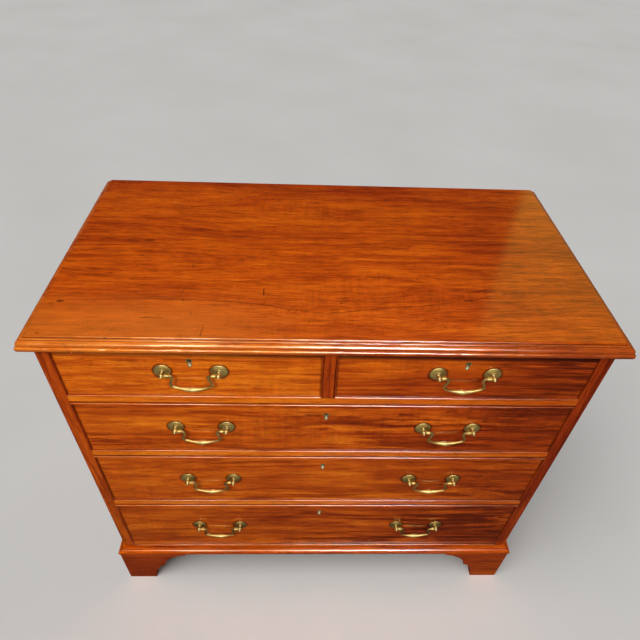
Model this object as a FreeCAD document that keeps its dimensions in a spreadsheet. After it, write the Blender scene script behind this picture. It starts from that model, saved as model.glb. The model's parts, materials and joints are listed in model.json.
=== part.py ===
# A bachelor's chest: two short drawers over three long ones, in a mahogany
# case with an ovolo-moulded top and bracket feet.
# Millimetres, +Z up, front towards -Y, origin on the floor at the centre.
import FreeCAD, Part
import Sketcher
import math
import os

V = FreeCAD.Vector
doc = FreeCAD.newDocument("bachelors_chest")

# ---------------------------------------------------------------- sizes ----
sheet = doc.addObject("Spreadsheet::Sheet", "sizes")
SIZES = [
    # top board
    ("top_width", 932), ("top_depth", 489), ("top_thick", 22),
    ("overhang", 17), ("step_in", 13.5), ("step_down", 2.4),
    ("quirk_in", 8.8), ("quirk_down", 0.8),
    ("ovolo_in", 2.4), ("ovolo_down", 9.6), ("ovolo_radius", 6),
    ("arris_radius", 1.6), ("under_radius", 4.5),
    # case
    ("side_thick", 20), ("back_thick", 10), ("base_thick", 20),
    ("foot_height", 130), ("rail_thick", 16), ("rail_deep", 60),
    ("open_one", 117), ("open_two", 141), ("open_three", 165),
    ("open_four", 189), ("divider_wide", 18),
    ("tenon_long", 9), ("tenon_thick", 8), ("tenon_set", 8),
    ("runner_wide", 33), ("housing", 3), ("panel_thick", 7),
    ("panel_groove", 6), ("guide_tall", 25), ("tongue", 6),
    ("stop_wide", 36), ("stop_deep", 18), ("stop_tall", 5),
    # base
    ("mould_out", 14), ("mould_tall", 16), ("foot_wide", 150),
    ("foot_thick", 22), ("foot_set", 2), ("block", 40),
    # drawers
    ("gap_side", 0.8), ("gap_top", 1), ("gap_under", 0.8),
    ("front_thick", 20), ("bead_thick", 3.2), ("bead_deep", 7),
    ("bead_proud", 3), ("bead_nose", 1.45), ("drawer_deep", 445),
    ("wall_thick", 10), ("wall_low", 7), ("tail_long", 12),
    ("bottom_thick", 6), ("bottom_up", 8), ("bottom_groove", 5),
    # locks
    ("key_drop", 34), ("lock_wide", 56), ("lock_tall", 54),
    ("lock_deep", 10), ("bolt_wide", 20), ("bolt_thick", 5.4),
    ("bolt_tall", 24), ("bolt_play", 0.3), ("bolt_mortise", 8),
    ("key_round", 3.5), ("key_slot", 4.2), ("key_up", 4.4),
    ("key_down", 5.9), ("lining", 1.4), ("lining_deep", 9),
    # handles
    ("pitch", 89), ("handle_raise", 5), ("pivot_out", 10.5),
    ("rose_radius", 14), ("shank_radius", 2.4), ("bore_play", 0.05),
    ("neck_radius", 3), ("ball_radius", 4.4), ("tip_radius", 2.7),
    ("tip_out", 13.9), ("bail_radius", 2.3), ("pin_play", 0.06),
    ("bail_drop", 32.5), ("grip_radius", 4.3), ("grip_half", 20),
    ("neck_bend", 5), ("low_bend", 6), ("bow_radius", 85),
    ("bow_half", 29.5), ("nut_radius", 5.2), ("nut_tall", 4),
]
VALUE = {}
for row, (name, number) in enumerate(SIZES, start=1):
    sheet.set("A%d" % row, name)
    sheet.set("B%d" % row, "%g" % number)
    sheet.setAlias("B%d" % row, name)
    VALUE[name] = float(number)
doc.recompute()


class Q:
    """A length with the expression it comes from."""

    def __init__(self, v, t):
        self.v, self.t = v, t

    @staticmethod
    def of(o):
        if isinstance(o, Q):
            return o
        o = float(o)
        return Q(o, "%.9g" % o if o >= 0 else "(0 - %.9g)" % -o)

    def __add__(self, o):
        o = Q.of(o)
        return Q(self.v + o.v, "(%s + %s)" % (self.t, o.t))

    def __radd__(self, o):
        return Q.of(o) + self

    def __sub__(self, o):
        o = Q.of(o)
        return Q(self.v - o.v, "(%s - %s)" % (self.t, o.t))

    def __rsub__(self, o):
        return Q.of(o) - self

    def __mul__(self, o):
        o = Q.of(o)
        return Q(self.v * o.v, "(%s * %s)" % (self.t, o.t))

    __rmul__ = __mul__

    def __truediv__(self, o):
        o = Q.of(o)
        return Q(self.v / o.v, "(%s / %s)" % (self.t, o.t))

    def __neg__(self):
        return Q(-self.v, "(0 - %s)" % self.t)


S = {name: Q(v, "sizes." + name) for name, v in VALUE.items()}


def bind(obj, prop, q):
    q = Q.of(q)
    obj.setExpression(prop, q.t)


def put(obj, x, y, z, axis=None, angle=0):
    if axis is not None:
        obj.Placement = FreeCAD.Placement(V(0, 0, 0), FreeCAD.Rotation(V(*axis), angle))
    for c, q in zip("xyz", (x, y, z)):
        bind(obj, "Placement.Base." + c, q)


def box(name, x0, x1, y0, y1, z0, z1):
    o = doc.addObject("Part::Box", name)
    for prop, lo, hi in (("Length", x0, x1), ("Width", y0, y1), ("Height", z0, z1)):
        bind(o, prop, Q.of(hi) - Q.of(lo))
    put(o, x0, y0, z0)
    return o


AXES = {"z": None, "-y": ((1, 0, 0), 90), "+y": ((1, 0, 0), -90),
        "+x": ((0, 1, 0), 90), "-x": ((0, 1, 0), -90)}


def cyl(name, radius, length, at, axis="z"):
    o = doc.addObject("Part::Cylinder", name)
    bind(o, "Radius", radius)
    bind(o, "Height", length)
    turn = AXES[axis]
    put(o, *at, *(turn if turn else ()))
    return o


def ball(name, radius, at):
    o = doc.addObject("Part::Sphere", name)
    bind(o, "Radius", radius)
    put(o, *at)
    return o


def wedge(name, x0, x1, y0, y1, near, far):
    """A dovetail: constant in x, its z range going from near (at y0) to far (at y1)."""
    o = doc.addObject("Part::Wedge", name)
    for prop, q in (("Xmin", x0), ("Xmax", x1), ("X2min", x0), ("X2max", x1),
                    ("Ymin", y0), ("Ymax", y1), ("Zmin", near[0]), ("Zmax", near[1]),
                    ("Z2min", far[0]), ("Z2max", far[1])):
        bind(o, prop, q)
    return o


def fuse(name, parts):
    if len(parts) == 1:
        return parts[0]
    o = doc.addObject("Part::MultiFuse", name)
    o.Shapes = parts
    o.Refine = True
    return o


def cut(name, base, tools):
    o = doc.addObject("Part::Cut", name)
    o.Base = base
    o.Tool = fuse(name + "_tools", tools)
    return o


def group(name, parts):
    o = doc.addObject("Part::Compound", name)
    o.Links = parts
    return o


def mirror(name, source):
    o = doc.addObject("Part::Mirroring", name)
    o.Source = source
    o.Normal = V(1, 0, 0)
    o.Base = V(0, 0, 0)
    return o


def plane(body, role):
    for f in body.Origin.OriginFeatures:
        if f.Role == role:
            return f


def sketch(body, role, outline):
    """A closed outline: each point is (x, y) or (x, y, radius, side), where the
    radius makes the stretch that leaves this point an arc bulging to that side."""
    sk = body.newObject("Sketcher::SketchObject", body.Name + "_sketch")
    sk.AttachmentSupport = (plane(body, role), "")
    sk.MapMode = "FlatFace"
    n = len(outline)
    pts = [V(Q.of(p[0]).v, Q.of(p[1]).v, 0) for p in outline]
    for i, p in enumerate(outline):
        a, b = pts[i], pts[(i + 1) % n]
        if len(p) == 2:
            sk.addGeometry(Part.LineSegment(a, b), False)
        else:
            r, side = Q.of(p[2]).v, p[3]
            chord = b - a
            half = chord.Length / 2
            left = V(-chord.y, chord.x, 0).normalize()
            sag = r - math.sqrt(r * r - half * half)
            mid = (a + b) * 0.5 + left * (side * sag)
            sk.addGeometry(Part.ArcOfCircle(*circle_of(a, mid, b)), False)
    starts = []
    for i, p in enumerate(outline):
        g = sk.Geometry[i]
        first = g.StartPoint.distanceToPoint(pts[i]) < 1e-6
        starts.append((1, 2) if first else (2, 1))
    for i in range(n):
        j = (i + 1) % n
        sk.addConstraint(Sketcher.Constraint("Coincident", i, starts[i][1], j, starts[j][0]))
    for i, p in enumerate(outline):
        for axis, kind, q in ((-2, "DistanceX", p[0]), (-1, "DistanceY", p[1])):
            q = Q.of(q)
            if abs(q.v) < 1e-9:
                sk.addConstraint(Sketcher.Constraint("PointOnObject", i, starts[i][0], axis))
            else:
                c = sk.addConstraint(Sketcher.Constraint(kind, -1, 1, i, starts[i][0], q.v))
                sk.setExpression("Constraints[%d]" % c, q.t)
        if len(p) > 2:
            q = Q.of(p[2])
            c = sk.addConstraint(Sketcher.Constraint("Radius", i, q.v))
            sk.setExpression("Constraints[%d]" % c, q.t)
    return sk


def circle_of(a, m, b):
    """The circle through three points and the angles of the arc a, m, b."""
    d = 2 * (a.x * (m.y - b.y) + m.x * (b.y - a.y) + b.x * (a.y - m.y))
    sq = [p.x * p.x + p.y * p.y for p in (a, m, b)]
    ux = (sq[0] * (m.y - b.y) + sq[1] * (b.y - a.y) + sq[2] * (a.y - m.y)) / d
    uy = (sq[0] * (b.x - m.x) + sq[1] * (a.x - b.x) + sq[2] * (m.x - a.x)) / d
    c = V(ux, uy, 0)
    r = (a - c).Length
    t = [math.atan2(p.y - uy, p.x - ux) for p in (a, m, b)]
    turn = lambda u, w: (w - u) % (2 * math.pi)
    if turn(t[0], t[1]) < turn(t[0], t[2]):
        lo, hi = t[0], t[0] + turn(t[0], t[2])
    else:
        lo, hi = t[2], t[2] + turn(t[2], t[0])
    return Part.Circle(c, V(0, 0, 1), r), lo, hi


def pad(name, role, outline, length, at):
    """A board of the given outline, padded from the body's own plane."""
    body = doc.addObject("PartDesign::Body", name)
    sk = sketch(body, role, outline)
    p = body.newObject("PartDesign::Pad", name + "_pad")
    p.Profile = sk
    bind(p, "Length", length)
    put(body, *at)
    return body, p


def revolve(name, outline, at, turn=None):
    """A turned piece: (radius, height) outline spun about the body's Y axis."""
    body = doc.addObject("PartDesign::Body", name)
    sk = sketch(body, "XY_Plane", outline)
    r = body.newObject("PartDesign::Revolution", name + "_turn")
    r.Profile = sk
    r.ReferenceAxis = (sk, ["V_Axis"])
    r.Angle = 360
    put(body, *at, *(turn if turn else ()))
    return body


# levels and planes
yf = S["overhang"] - S["top_depth"] / 2          # front of case and drawers
yb = S["top_depth"] / 2                          # back of the chest
y_in = yb - S["back_thick"]                      # front of the back boards
half = S["top_width"] / 2 - S["overhang"]        # half the case width
inner = half - S["side_thick"]
z_case = S["foot_height"]
z_base = z_case + S["base_thick"]
z4 = z_base
rail_c = z4 + S["open_four"]
z3 = rail_c + S["rail_thick"]
rail_b = z3 + S["open_three"]
z2 = rail_b + S["rail_thick"]
rail_a = z2 + S["open_two"]
z1 = rail_a + S["rail_thick"]
z_under = z1 + S["open_one"]
z_top = z_under + S["top_thick"]
RAILS = (("upper", rail_a), ("middle", rail_b), ("lower", rail_c))
div = S["divider_wide"] / 2

nodes = {}          # node name -> document object

# ------------------------------------------------------------- the case ----
# top board: moulded on the front and both ends, plain at the back
top_body, top_pad = pad(
    "top_board", "XY_Plane",
    [(0, 0), (S["top_width"], 0), (S["top_width"], S["top_depth"]), (0, S["top_depth"])],
    S["top_thick"], (-S["top_width"] / 2, -S["top_depth"] / 2, z_under))


def lower_edge(name, inset, level, depth):
    """Lowers a strip along the front and both ends, inset wide, from level by depth."""
    sk = sketch(top_body, "XY_Plane", [
        (0, 0), (S["top_width"], 0), (S["top_width"], S["top_depth"]),
        (S["top_width"] - inset, S["top_depth"]), (S["top_width"] - inset, inset),
        (inset, inset), (inset, S["top_depth"]), (0, S["top_depth"])])
    bind(sk, "AttachmentOffset.Base.z", level)
    strip = top_body.newObject("PartDesign::Pocket", name)
    strip.Profile = sk
    bind(strip, "Length", depth)
    return strip


lower_edge("top_step", S["step_in"], S["top_thick"], S["step_down"])
doc.recompute()
lower_edge("top_quirk", S["quirk_in"], S["top_thick"] - S["step_down"], S["quirk_down"])
doc.recompute()
step = lower_edge("top_ovolo_face", S["ovolo_in"], S["top_thick"] - S["step_down"] - S["quirk_down"],
                  S["ovolo_down"])


def edges_of(shape, test):
    return ["Edge%d" % (i + 1) for i, e in enumerate(shape.Edges)
            if test(e.valueAt(e.FirstParameter), e.valueAt(e.LastParameter))]


def fillet(body, base, names, radius, name):
    f = body.newObject("PartDesign::Fillet", name)
    f.Base = (base, names)
    bind(f, "Radius", radius)
    body.Tip = f
    return f


doc.recompute()
W, D, T = VALUE["top_width"], VALUE["top_depth"], VALUE["top_thick"]


def rim_at(level, inset=0.0):
    def test(a, b):
        if abs(a.z - level) > 1e-6 or abs(b.z - level) > 1e-6:
            return False
        front = abs(a.y - inset) < 1e-6 and abs(b.y - inset) < 1e-6
        left = abs(a.x - inset) < 1e-6 and abs(b.x - inset) < 1e-6
        right = abs(a.x - W + inset) < 1e-6 and abs(b.x - W + inset) < 1e-6
        return front or left or right
    return test


# an ovolo over a fillet with a rubbed arris, rounded again underneath
brow = T - VALUE["step_down"] - VALUE["quirk_down"]
ovolo = fillet(top_body, step, edges_of(step.Shape, rim_at(brow, VALUE["ovolo_in"])),
               S["ovolo_radius"], "top_ovolo")
doc.recompute()
arris = fillet(top_body, ovolo, edges_of(ovolo.Shape, rim_at(brow - VALUE["ovolo_down"])),
               S["arris_radius"], "top_arris")
doc.recompute()
under = fillet(top_body, arris, edges_of(arris.Shape, rim_at(0)), S["under_radius"], "top_under")

# sides: mortises for the rails, housings for the runners, rebates for the
# back boards and the bottom board, a tongue up into the top
side_raw = fuse("side_left_raw", [
    box("side_left_board", -half, -inner, yf, yb, z_case, z_under),
    box("side_left_tongue", -half + 6, -half + 14, yf + 30, y_in, z_under, z_under + S["tongue"])])
side_tools = [
    box("side_back_rebate", -inner - 10, -inner, y_in, yb, z_case, z_under),
    box("side_base_rebate", -inner - 10, -inner, yf, y_in, z_case, z_base)]
for tag, z in RAILS:
    side_tools.append(box("side_mortise_" + tag, -inner - S["tenon_long"], -inner,
                          yf + S["tenon_set"], yf + S["rail_deep"] - 12,
                          z + 4, z + 4 + S["tenon_thick"]))
    side_tools.append(box("side_housing_" + tag, -inner - S["housing"], -inner,
                          yf + S["rail_deep"], y_in, z, z + S["rail_thick"]))
nodes["side_left"] = cut("side_left", side_raw, side_tools)
nodes["side_right"] = mirror("side_right", nodes["side_left"])

# rails: stub tenons into the sides, a groove behind for the dustboard, a
# mortise below for each lock bolt
short_x = (div + inner) / 2                       # centre of a short drawer
bolt_y0 = yf + S["front_thick"] - S["lock_deep"] + 2
bolt_y1 = bolt_y0 + S["bolt_thick"] + 2 * S["bolt_play"]
bolt_half = S["bolt_wide"] / 2 + S["bolt_play"]
rails = []
for tag, z in RAILS:
    bar = box("rail_%s_bar" % tag, -inner, inner, yf, yf + S["rail_deep"], z, z + S["rail_thick"])
    tenons = box("rail_%s_tenons" % tag, -inner - S["tenon_long"], inner + S["tenon_long"],
                 yf + S["tenon_set"], yf + S["rail_deep"] - 12, z + 4, z + 4 + S["tenon_thick"])
    groove_z = z + (S["rail_thick"] - S["panel_thick"]) / 2
    tools = [box("rail_%s_groove" % tag, -inner + S["runner_wide"] - S["housing"] - S["panel_groove"],
                 inner - S["runner_wide"] + S["housing"] + S["panel_groove"],
                 yf + S["rail_deep"] - S["panel_groove"], yf + S["rail_deep"],
                 groove_z, groove_z + S["panel_thick"]),
             box("rail_%s_strike" % tag, -bolt_half - 0.7, bolt_half + 0.7, bolt_y0 - 0.7, bolt_y1 + 0.7,
                 z, z + S["bolt_mortise"])]
    if tag == "upper":
        tools.append(box("rail_upper_mortise", -div + 4, div - 4, yf + S["tenon_set"],
                         yf + S["rail_deep"] - 12, z + S["rail_thick"] - S["tenon_thick"],
                         z + S["rail_thick"]))
    rails.append(cut("drawer_rail_" + tag, fuse("rail_%s_raw" % tag, [bar, tenons]), tools))
nodes["drawer_rails"] = group("drawer_rails", rails)

# divider between the short drawers, tenoned into the top and the upper rail
nodes["centre_divider"] = fuse("centre_divider", [
    box("divider_post", -div, div, yf, yf + S["rail_deep"], z1, z_under),
    box("divider_tenon", -div + 4, div - 4, yf + S["tenon_set"], yf + S["rail_deep"] - 12,
        z1 - S["tenon_thick"], z_under + S["tongue"])])

top_tools = [
    box("top_groove_left", -half + 6, -half + 14, yf + 30, y_in, z_under, z_under + S["tongue"]),
    box("top_groove_right", half - 14, half - 6, yf + 30, y_in, z_under, z_under + S["tongue"]),
    box("top_mortise", -div + 4, div - 4, yf + S["tenon_set"], yf + S["rail_deep"] - 12,
        z_under, z_under + S["tongue"])]
for tag, s in (("left", -1), ("right", 1)):
    top_tools.append(box("top_strike_" + tag, s * short_x - bolt_half - 0.7, s * short_x + bolt_half + 0.7,
                         bolt_y0 - 0.7, bolt_y1 + 0.7, z_under, z_under + S["bolt_mortise"]))
nodes["top"] = cut("top", top_body, top_tools)

# runners housed in the sides, a wide one in the middle of the upper level
# with the guide on it, and the stops that the drawer fronts close against
run_in = inner - S["runner_wide"] + S["housing"]  # inner face of a runner
panel_in = run_in + S["panel_groove"]
mid_half = 30
runners = []
for tag, z in RAILS:
    gz = z + (S["rail_thick"] - S["panel_thick"]) / 2
    left = cut("runner_%s_left" % tag,
               box("runner_%s_bar" % tag, -inner - S["housing"], -run_in, yf + S["rail_deep"], y_in,
                   z, z + S["rail_thick"]),
               [box("runner_%s_groove" % tag, -panel_in, -run_in, yf + S["rail_deep"], y_in,
                    gz, gz + S["panel_thick"])])
    runners += [left, mirror("runner_%s_right" % tag, left)]
gz = rail_a + (S["rail_thick"] - S["panel_thick"]) / 2
runners.append(cut("runner_centre",
                   box("runner_centre_bar", -mid_half, mid_half, yf + S["rail_deep"], y_in,
                       rail_a, z1),
                   [box("runner_centre_groove_l", -mid_half, -mid_half + S["panel_groove"],
                        yf + S["rail_deep"], y_in, gz, gz + S["panel_thick"]),
                    box("runner_centre_groove_r", mid_half - S["panel_groove"], mid_half,
                        yf + S["rail_deep"], y_in, gz, gz + S["panel_thick"])]))
runners.append(box("drawer_guide", -div, div, yf + S["rail_deep"], y_in - 4, z1, z1 + S["guide_tall"]))
stop_y = yf + S["front_thick"] + 0.6
for tag, z, xs in (("one", z1, (short_x - 130, short_x + 130)), ("two", z2, (Q.of(290),)),
                   ("three", z3, (Q.of(290),)), ("four", z4, (Q.of(290),))):
    for k, x in enumerate(xs):
        for s in (-1, 1):
            runners.append(box("stop_%s_%d%s" % (tag, k, "lr"[(s + 1) // 2]),
                               s * x - S["stop_wide"] / 2, s * x + S["stop_wide"] / 2,
                               stop_y, stop_y + S["stop_deep"], z, z + S["stop_tall"]))
nodes["runners_and_stops"] = group("runners_and_stops", runners)

# dustboards between the rows, held in the grooves of rails and runners
dust = []
for tag, z in RAILS:
    gz = z + (S["rail_thick"] - S["panel_thick"]) / 2
    y0, y1 = yf + S["rail_deep"] - S["panel_groove"], y_in - 6
    if tag == "upper":
        e = mid_half - S["panel_groove"]
        for s, x0, x1 in (("left", -panel_in, -e), ("right", e, panel_in)):
            dust.append(box("dustboard_upper_" + s, x0, x1, y0, y1, gz, gz + S["panel_thick"]))
    else:
        dust.append(box("dustboard_" + tag, -panel_in, panel_in, y0, y1, gz, gz + S["panel_thick"]))
nodes["dustboards"] = group("dustboards", dust)

# bottom board, lapped into the sides; the lowest drawer runs on it
nodes["bottom_board"] = box("bottom_board", -inner - 10, inner + 10, yf, y_in, z_case, z_base)

# back boards: five upright boards, lapped over each other along their edges
backs = []
x_back = inner + 10
board = (2 * x_back) / 5
for k in range(5):
    x0, x1 = -x_back + k * board, -x_back + (k + 1) * board
    parts = [box("back_board_%d_face" % k, x0 + (0.6 if k else 0), x1, yb - S["back_thick"] / 2, yb,
                 z_case, z_under),
             box("back_board_%d_lap" % k, x0 + (8.6 if k else 0), x1 + (8 if k < 4 else 0),
                 y_in, yb - S["back_thick"] / 2, z_case, z_under)]
    backs.append(fuse("back_board_%d" % k, parts))
nodes["back_boards"] = group("back_boards", backs)

# base moulding: three strips mitred at the front corners
m_out, m_tall = S["mould_out"], S["mould_tall"]
mould = [(0, 0), (m_out, 0), (m_out, 5.5), (m_out - 1.5, 5.5, 8, 1), (m_out - 8.5, 12.5),
         (m_out - 10, 12.5), (m_out - 10, m_tall), (0, m_tall)]
reach = half + m_out + 4
# the profile's first axis points outwards from the case
m_front = doc.addObject("PartDesign::Body", "mould_front_bar")
sk = sketch(m_front, "YZ_Plane", mould)
p = m_front.newObject("PartDesign::Pad", "mould_front_pad")
p.Profile = sk
bind(p, "Length", 2 * reach)
# turned about z by 180 degrees: outwards is -Y
put(m_front, reach, yf, z_case, (0, 0, 1), 180)
m_side = doc.addObject("PartDesign::Body", "mould_right_bar")
sk = sketch(m_side, "XZ_Plane", mould)
p = m_side.newObject("PartDesign::Pad", "mould_right_pad")
p.Profile = sk
bind(p, "Length", S["top_depth"] - S["overhang"] + m_out + 4)
put(m_side, half, yb, z_case)


def mitre(name, sx, strip, z0, z1, x, y):
    """A three-sided block whose long face is the mitre at a front corner; it
    takes the end off the front strip or off the side strip."""
    size = 60
    pts = [(0, 0), (size, 0), (size, -size)] if strip == "front" else [(0, 0), (size, -size), (0, -size)]
    body, _ = pad(name, "XY_Plane", [(sx * a, b) for a, b in pts], Q.of(z1) - Q.of(z0), (x, y, z0))
    return body


mould_z1 = z_case + m_tall
front_cut = [mitre("mould_mitre_fr", 1, "front", z_case - 1, mould_z1 + 1, half, yf),
             mitre("mould_mitre_fl", -1, "front", z_case - 1, mould_z1 + 1, -half, yf)]
mould_front = cut("base_mould_front", m_front, front_cut)
side_cut = [mitre("mould_mitre_sr", 1, "side", z_case - 1, mould_z1 + 1, half, yf)]
mould_right = cut("base_mould_right", m_side, side_cut)
mould_left = mirror("base_mould_left", mould_right)
nodes["base_moulding"] = group("base_moulding", [mould_front, mould_left, mould_right])

# bracket feet: shaped facings mitred at the front corners, plain brackets behind
f_out = half + m_out - S["foot_set"]              # outer face of a side facing
f_front = yf - m_out + S["foot_set"]              # outer face of the front facings
fw, ft, fh = S["foot_wide"], S["foot_thick"], S["foot_height"]
bracket = [(0, 0), (64, 0, 120, 1), (86, 64), (94, 64, 62, 1), (fw - 5, fh - 12),
           (fw, fh - 12), (fw, fh), (0, fh)]
facing_fr, _ = pad("foot_facing_raw", "XZ_Plane", bracket, ft, (0, 0, 0))
put(facing_fr, f_out, f_front, 0, (0, 0, 1), 180)   # runs towards -X, thickness towards +Y
facing_sd, _ = pad("foot_flank_raw", "YZ_Plane", bracket, ft, (0, 0, 0))
put(facing_sd, f_out - ft, f_front, 0)              # runs towards +Y
tall = fh + 1
foot_front = cut("foot_front_right", facing_fr, [
    mitre("foot_mitre_f", 1, "front", -1, tall, f_out - 30, f_front + 30)])
foot_flank = cut("foot_flank_right", facing_sd, [
    mitre("foot_mitre_s", 1, "side", -1, tall, f_out - 30, f_front + 30)])
foot_rear, _ = pad("foot_rear_right", "YZ_Plane", bracket, ft, (0, 0, 0))
put(foot_rear, f_out, yb, 0, (0, 0, 1), 180)        # runs towards -Y from the back corner
rear_shape = [(0, 0), (45, 0, 140, 1), (66, 76, 70, 1), (fw - 40, fh), (0, fh)]
foot_back, _ = pad("foot_back_right", "XZ_Plane", rear_shape, S["foot_thick"] - 4, (0, 0, 0))
put(foot_back, f_out - ft, yb - S["foot_thick"] + 4, 0, (0, 0, 1), 180)
feet = [foot_front, foot_flank, foot_rear, foot_back]
nodes["bracket_feet"] = group("bracket_feet", feet + [
    mirror(f.Name.replace("right", "left"), f) for f in feet])

# glue blocks in the corners of the feet
b = S["block"]
x1 = f_out - ft
blocks = [box("block_front_right", x1 - b, x1, f_front + ft, f_front + ft + b, 4, z_case),
          box("block_rear_right", x1 - b, x1, yb - ft + 4 - b, yb - ft + 4, 4, z_case)]
nodes["foot_blocks"] = group("foot_blocks", blocks + [
    mirror(o.Name.replace("right", "left"), o) for o in blocks])


# ---------------------------------------------------------- the drawers ----
def bail_shape():
    """A swan-neck bail about its pivot line, hanging in its own plane."""
    r = VALUE["bail_radius"]
    drop, bow, half_bow = VALUE["bail_drop"], VALUE["bow_radius"], VALUE["bow_half"]
    r2, r3 = VALUE["low_bend"], VALUE["neck_bend"]
    th1 = math.asin(half_bow / bow)
    th2 = math.radians(115)
    p1 = (half_bow, -drop + bow - bow * math.cos(th1))
    c2 = (p1[0] - r2 * math.sin(th1), p1[1] + r2 * math.cos(th1))
    p2 = (c2[0] + r2 * math.sin(th2), c2[1] - r2 * math.cos(th2))
    z3_ = -(r3 - r3 * math.cos(th2))
    run = (z3_ - p2[1]) / math.sin(th2)
    p3 = (p2[0] + run * math.cos(th2), z3_)
    c3 = (p3[0] + r3 * math.sin(th2), p3[1] - r3 * math.cos(th2))
    end = VALUE["pitch"] / 2 + 1.2
    tm = (th1 + th2) / 2
    m2 = (c2[0] + r2 * math.sin(tm), c2[1] - r2 * math.cos(tm))
    tn = th2 / 2
    m3 = (c3[0] - r3 * math.sin(tn), c3[1] + r3 * math.cos(tn))

    def v(p, s=1):
        return V(s * p[0], 0, p[1])

    half_path = lambda s: [
        Part.LineSegment(v((end, 0), s), v((c3[0], 0), s)).toShape(),
        Part.Arc(v((c3[0], 0), s), v(m3, s), v(p3, s)).toShape(),
        Part.LineSegment(v(p3, s), v(p2, s)).toShape(),
        Part.Arc(v(p2, s), v(m2, s), v(p1, s)).toShape()]
    low = Part.Arc(v(p1), V(0, 0, -drop), v(p1, -1)).toShape()
    edges = half_path(1) + [low] + list(reversed(half_path(-1)))
    wire = Part.Wire(Part.__sortEdges__(edges))
    start = Part.Wire([Part.Circle(V(-end, 0, 0), V(1, 0, 0), r).toShape()])
    if wire.OrderedVertexes[0].Point.x > 0:
        start = Part.Wire([Part.Circle(V(end, 0, 0), V(1, 0, 0), r).toShape()])
    tube = wire.makePipeShell([start], True, False)
    # the grip swells along the bow, from inside the tube to its thickest in the middle
    gr = VALUE["grip_radius"]
    rings = []
    for k in range(-4, 5):
        a = k / 4 * VALUE["grip_half"] / bow
        swell = r - 0.5 + (gr - r + 0.5) * math.cos(math.pi / 2 * k / 4) ** 1.2 if abs(k) < 4 else r - 0.5
        centre = V(bow * math.sin(a), 0, -drop + bow - bow * math.cos(a))
        rings.append(Part.Wire([Part.Circle(centre, V(math.cos(a), 0, math.sin(a)), swell).toShape()]))
    grip = Part.makeLoft(rings, True, False)
    solid = tube.fuse(grip).removeSplitter()
    if solid.Solids and len(solid.Solids) == 1:
        solid = solid.Solids[0]
    return solid


BAIL = bail_shape()


def keyhole(name, x, z, y0, y1, extra):
    """A keyhole: round above, slot below, grown by extra all round."""
    r = S["key_round"] + extra
    h = S["key_slot"] / 2 + extra
    return fuse(name, [
        cyl(name + "_round", r, y1 - y0, (x, y0, z + S["key_up"]), "+y"),
        box(name + "_slot", x - h, x + h, y0, y1, z - S["key_down"], z + S["key_up"]),
        cyl(name + "_foot", h, y1 - y0, (x, y0, z - S["key_down"]), "+y")])


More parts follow.
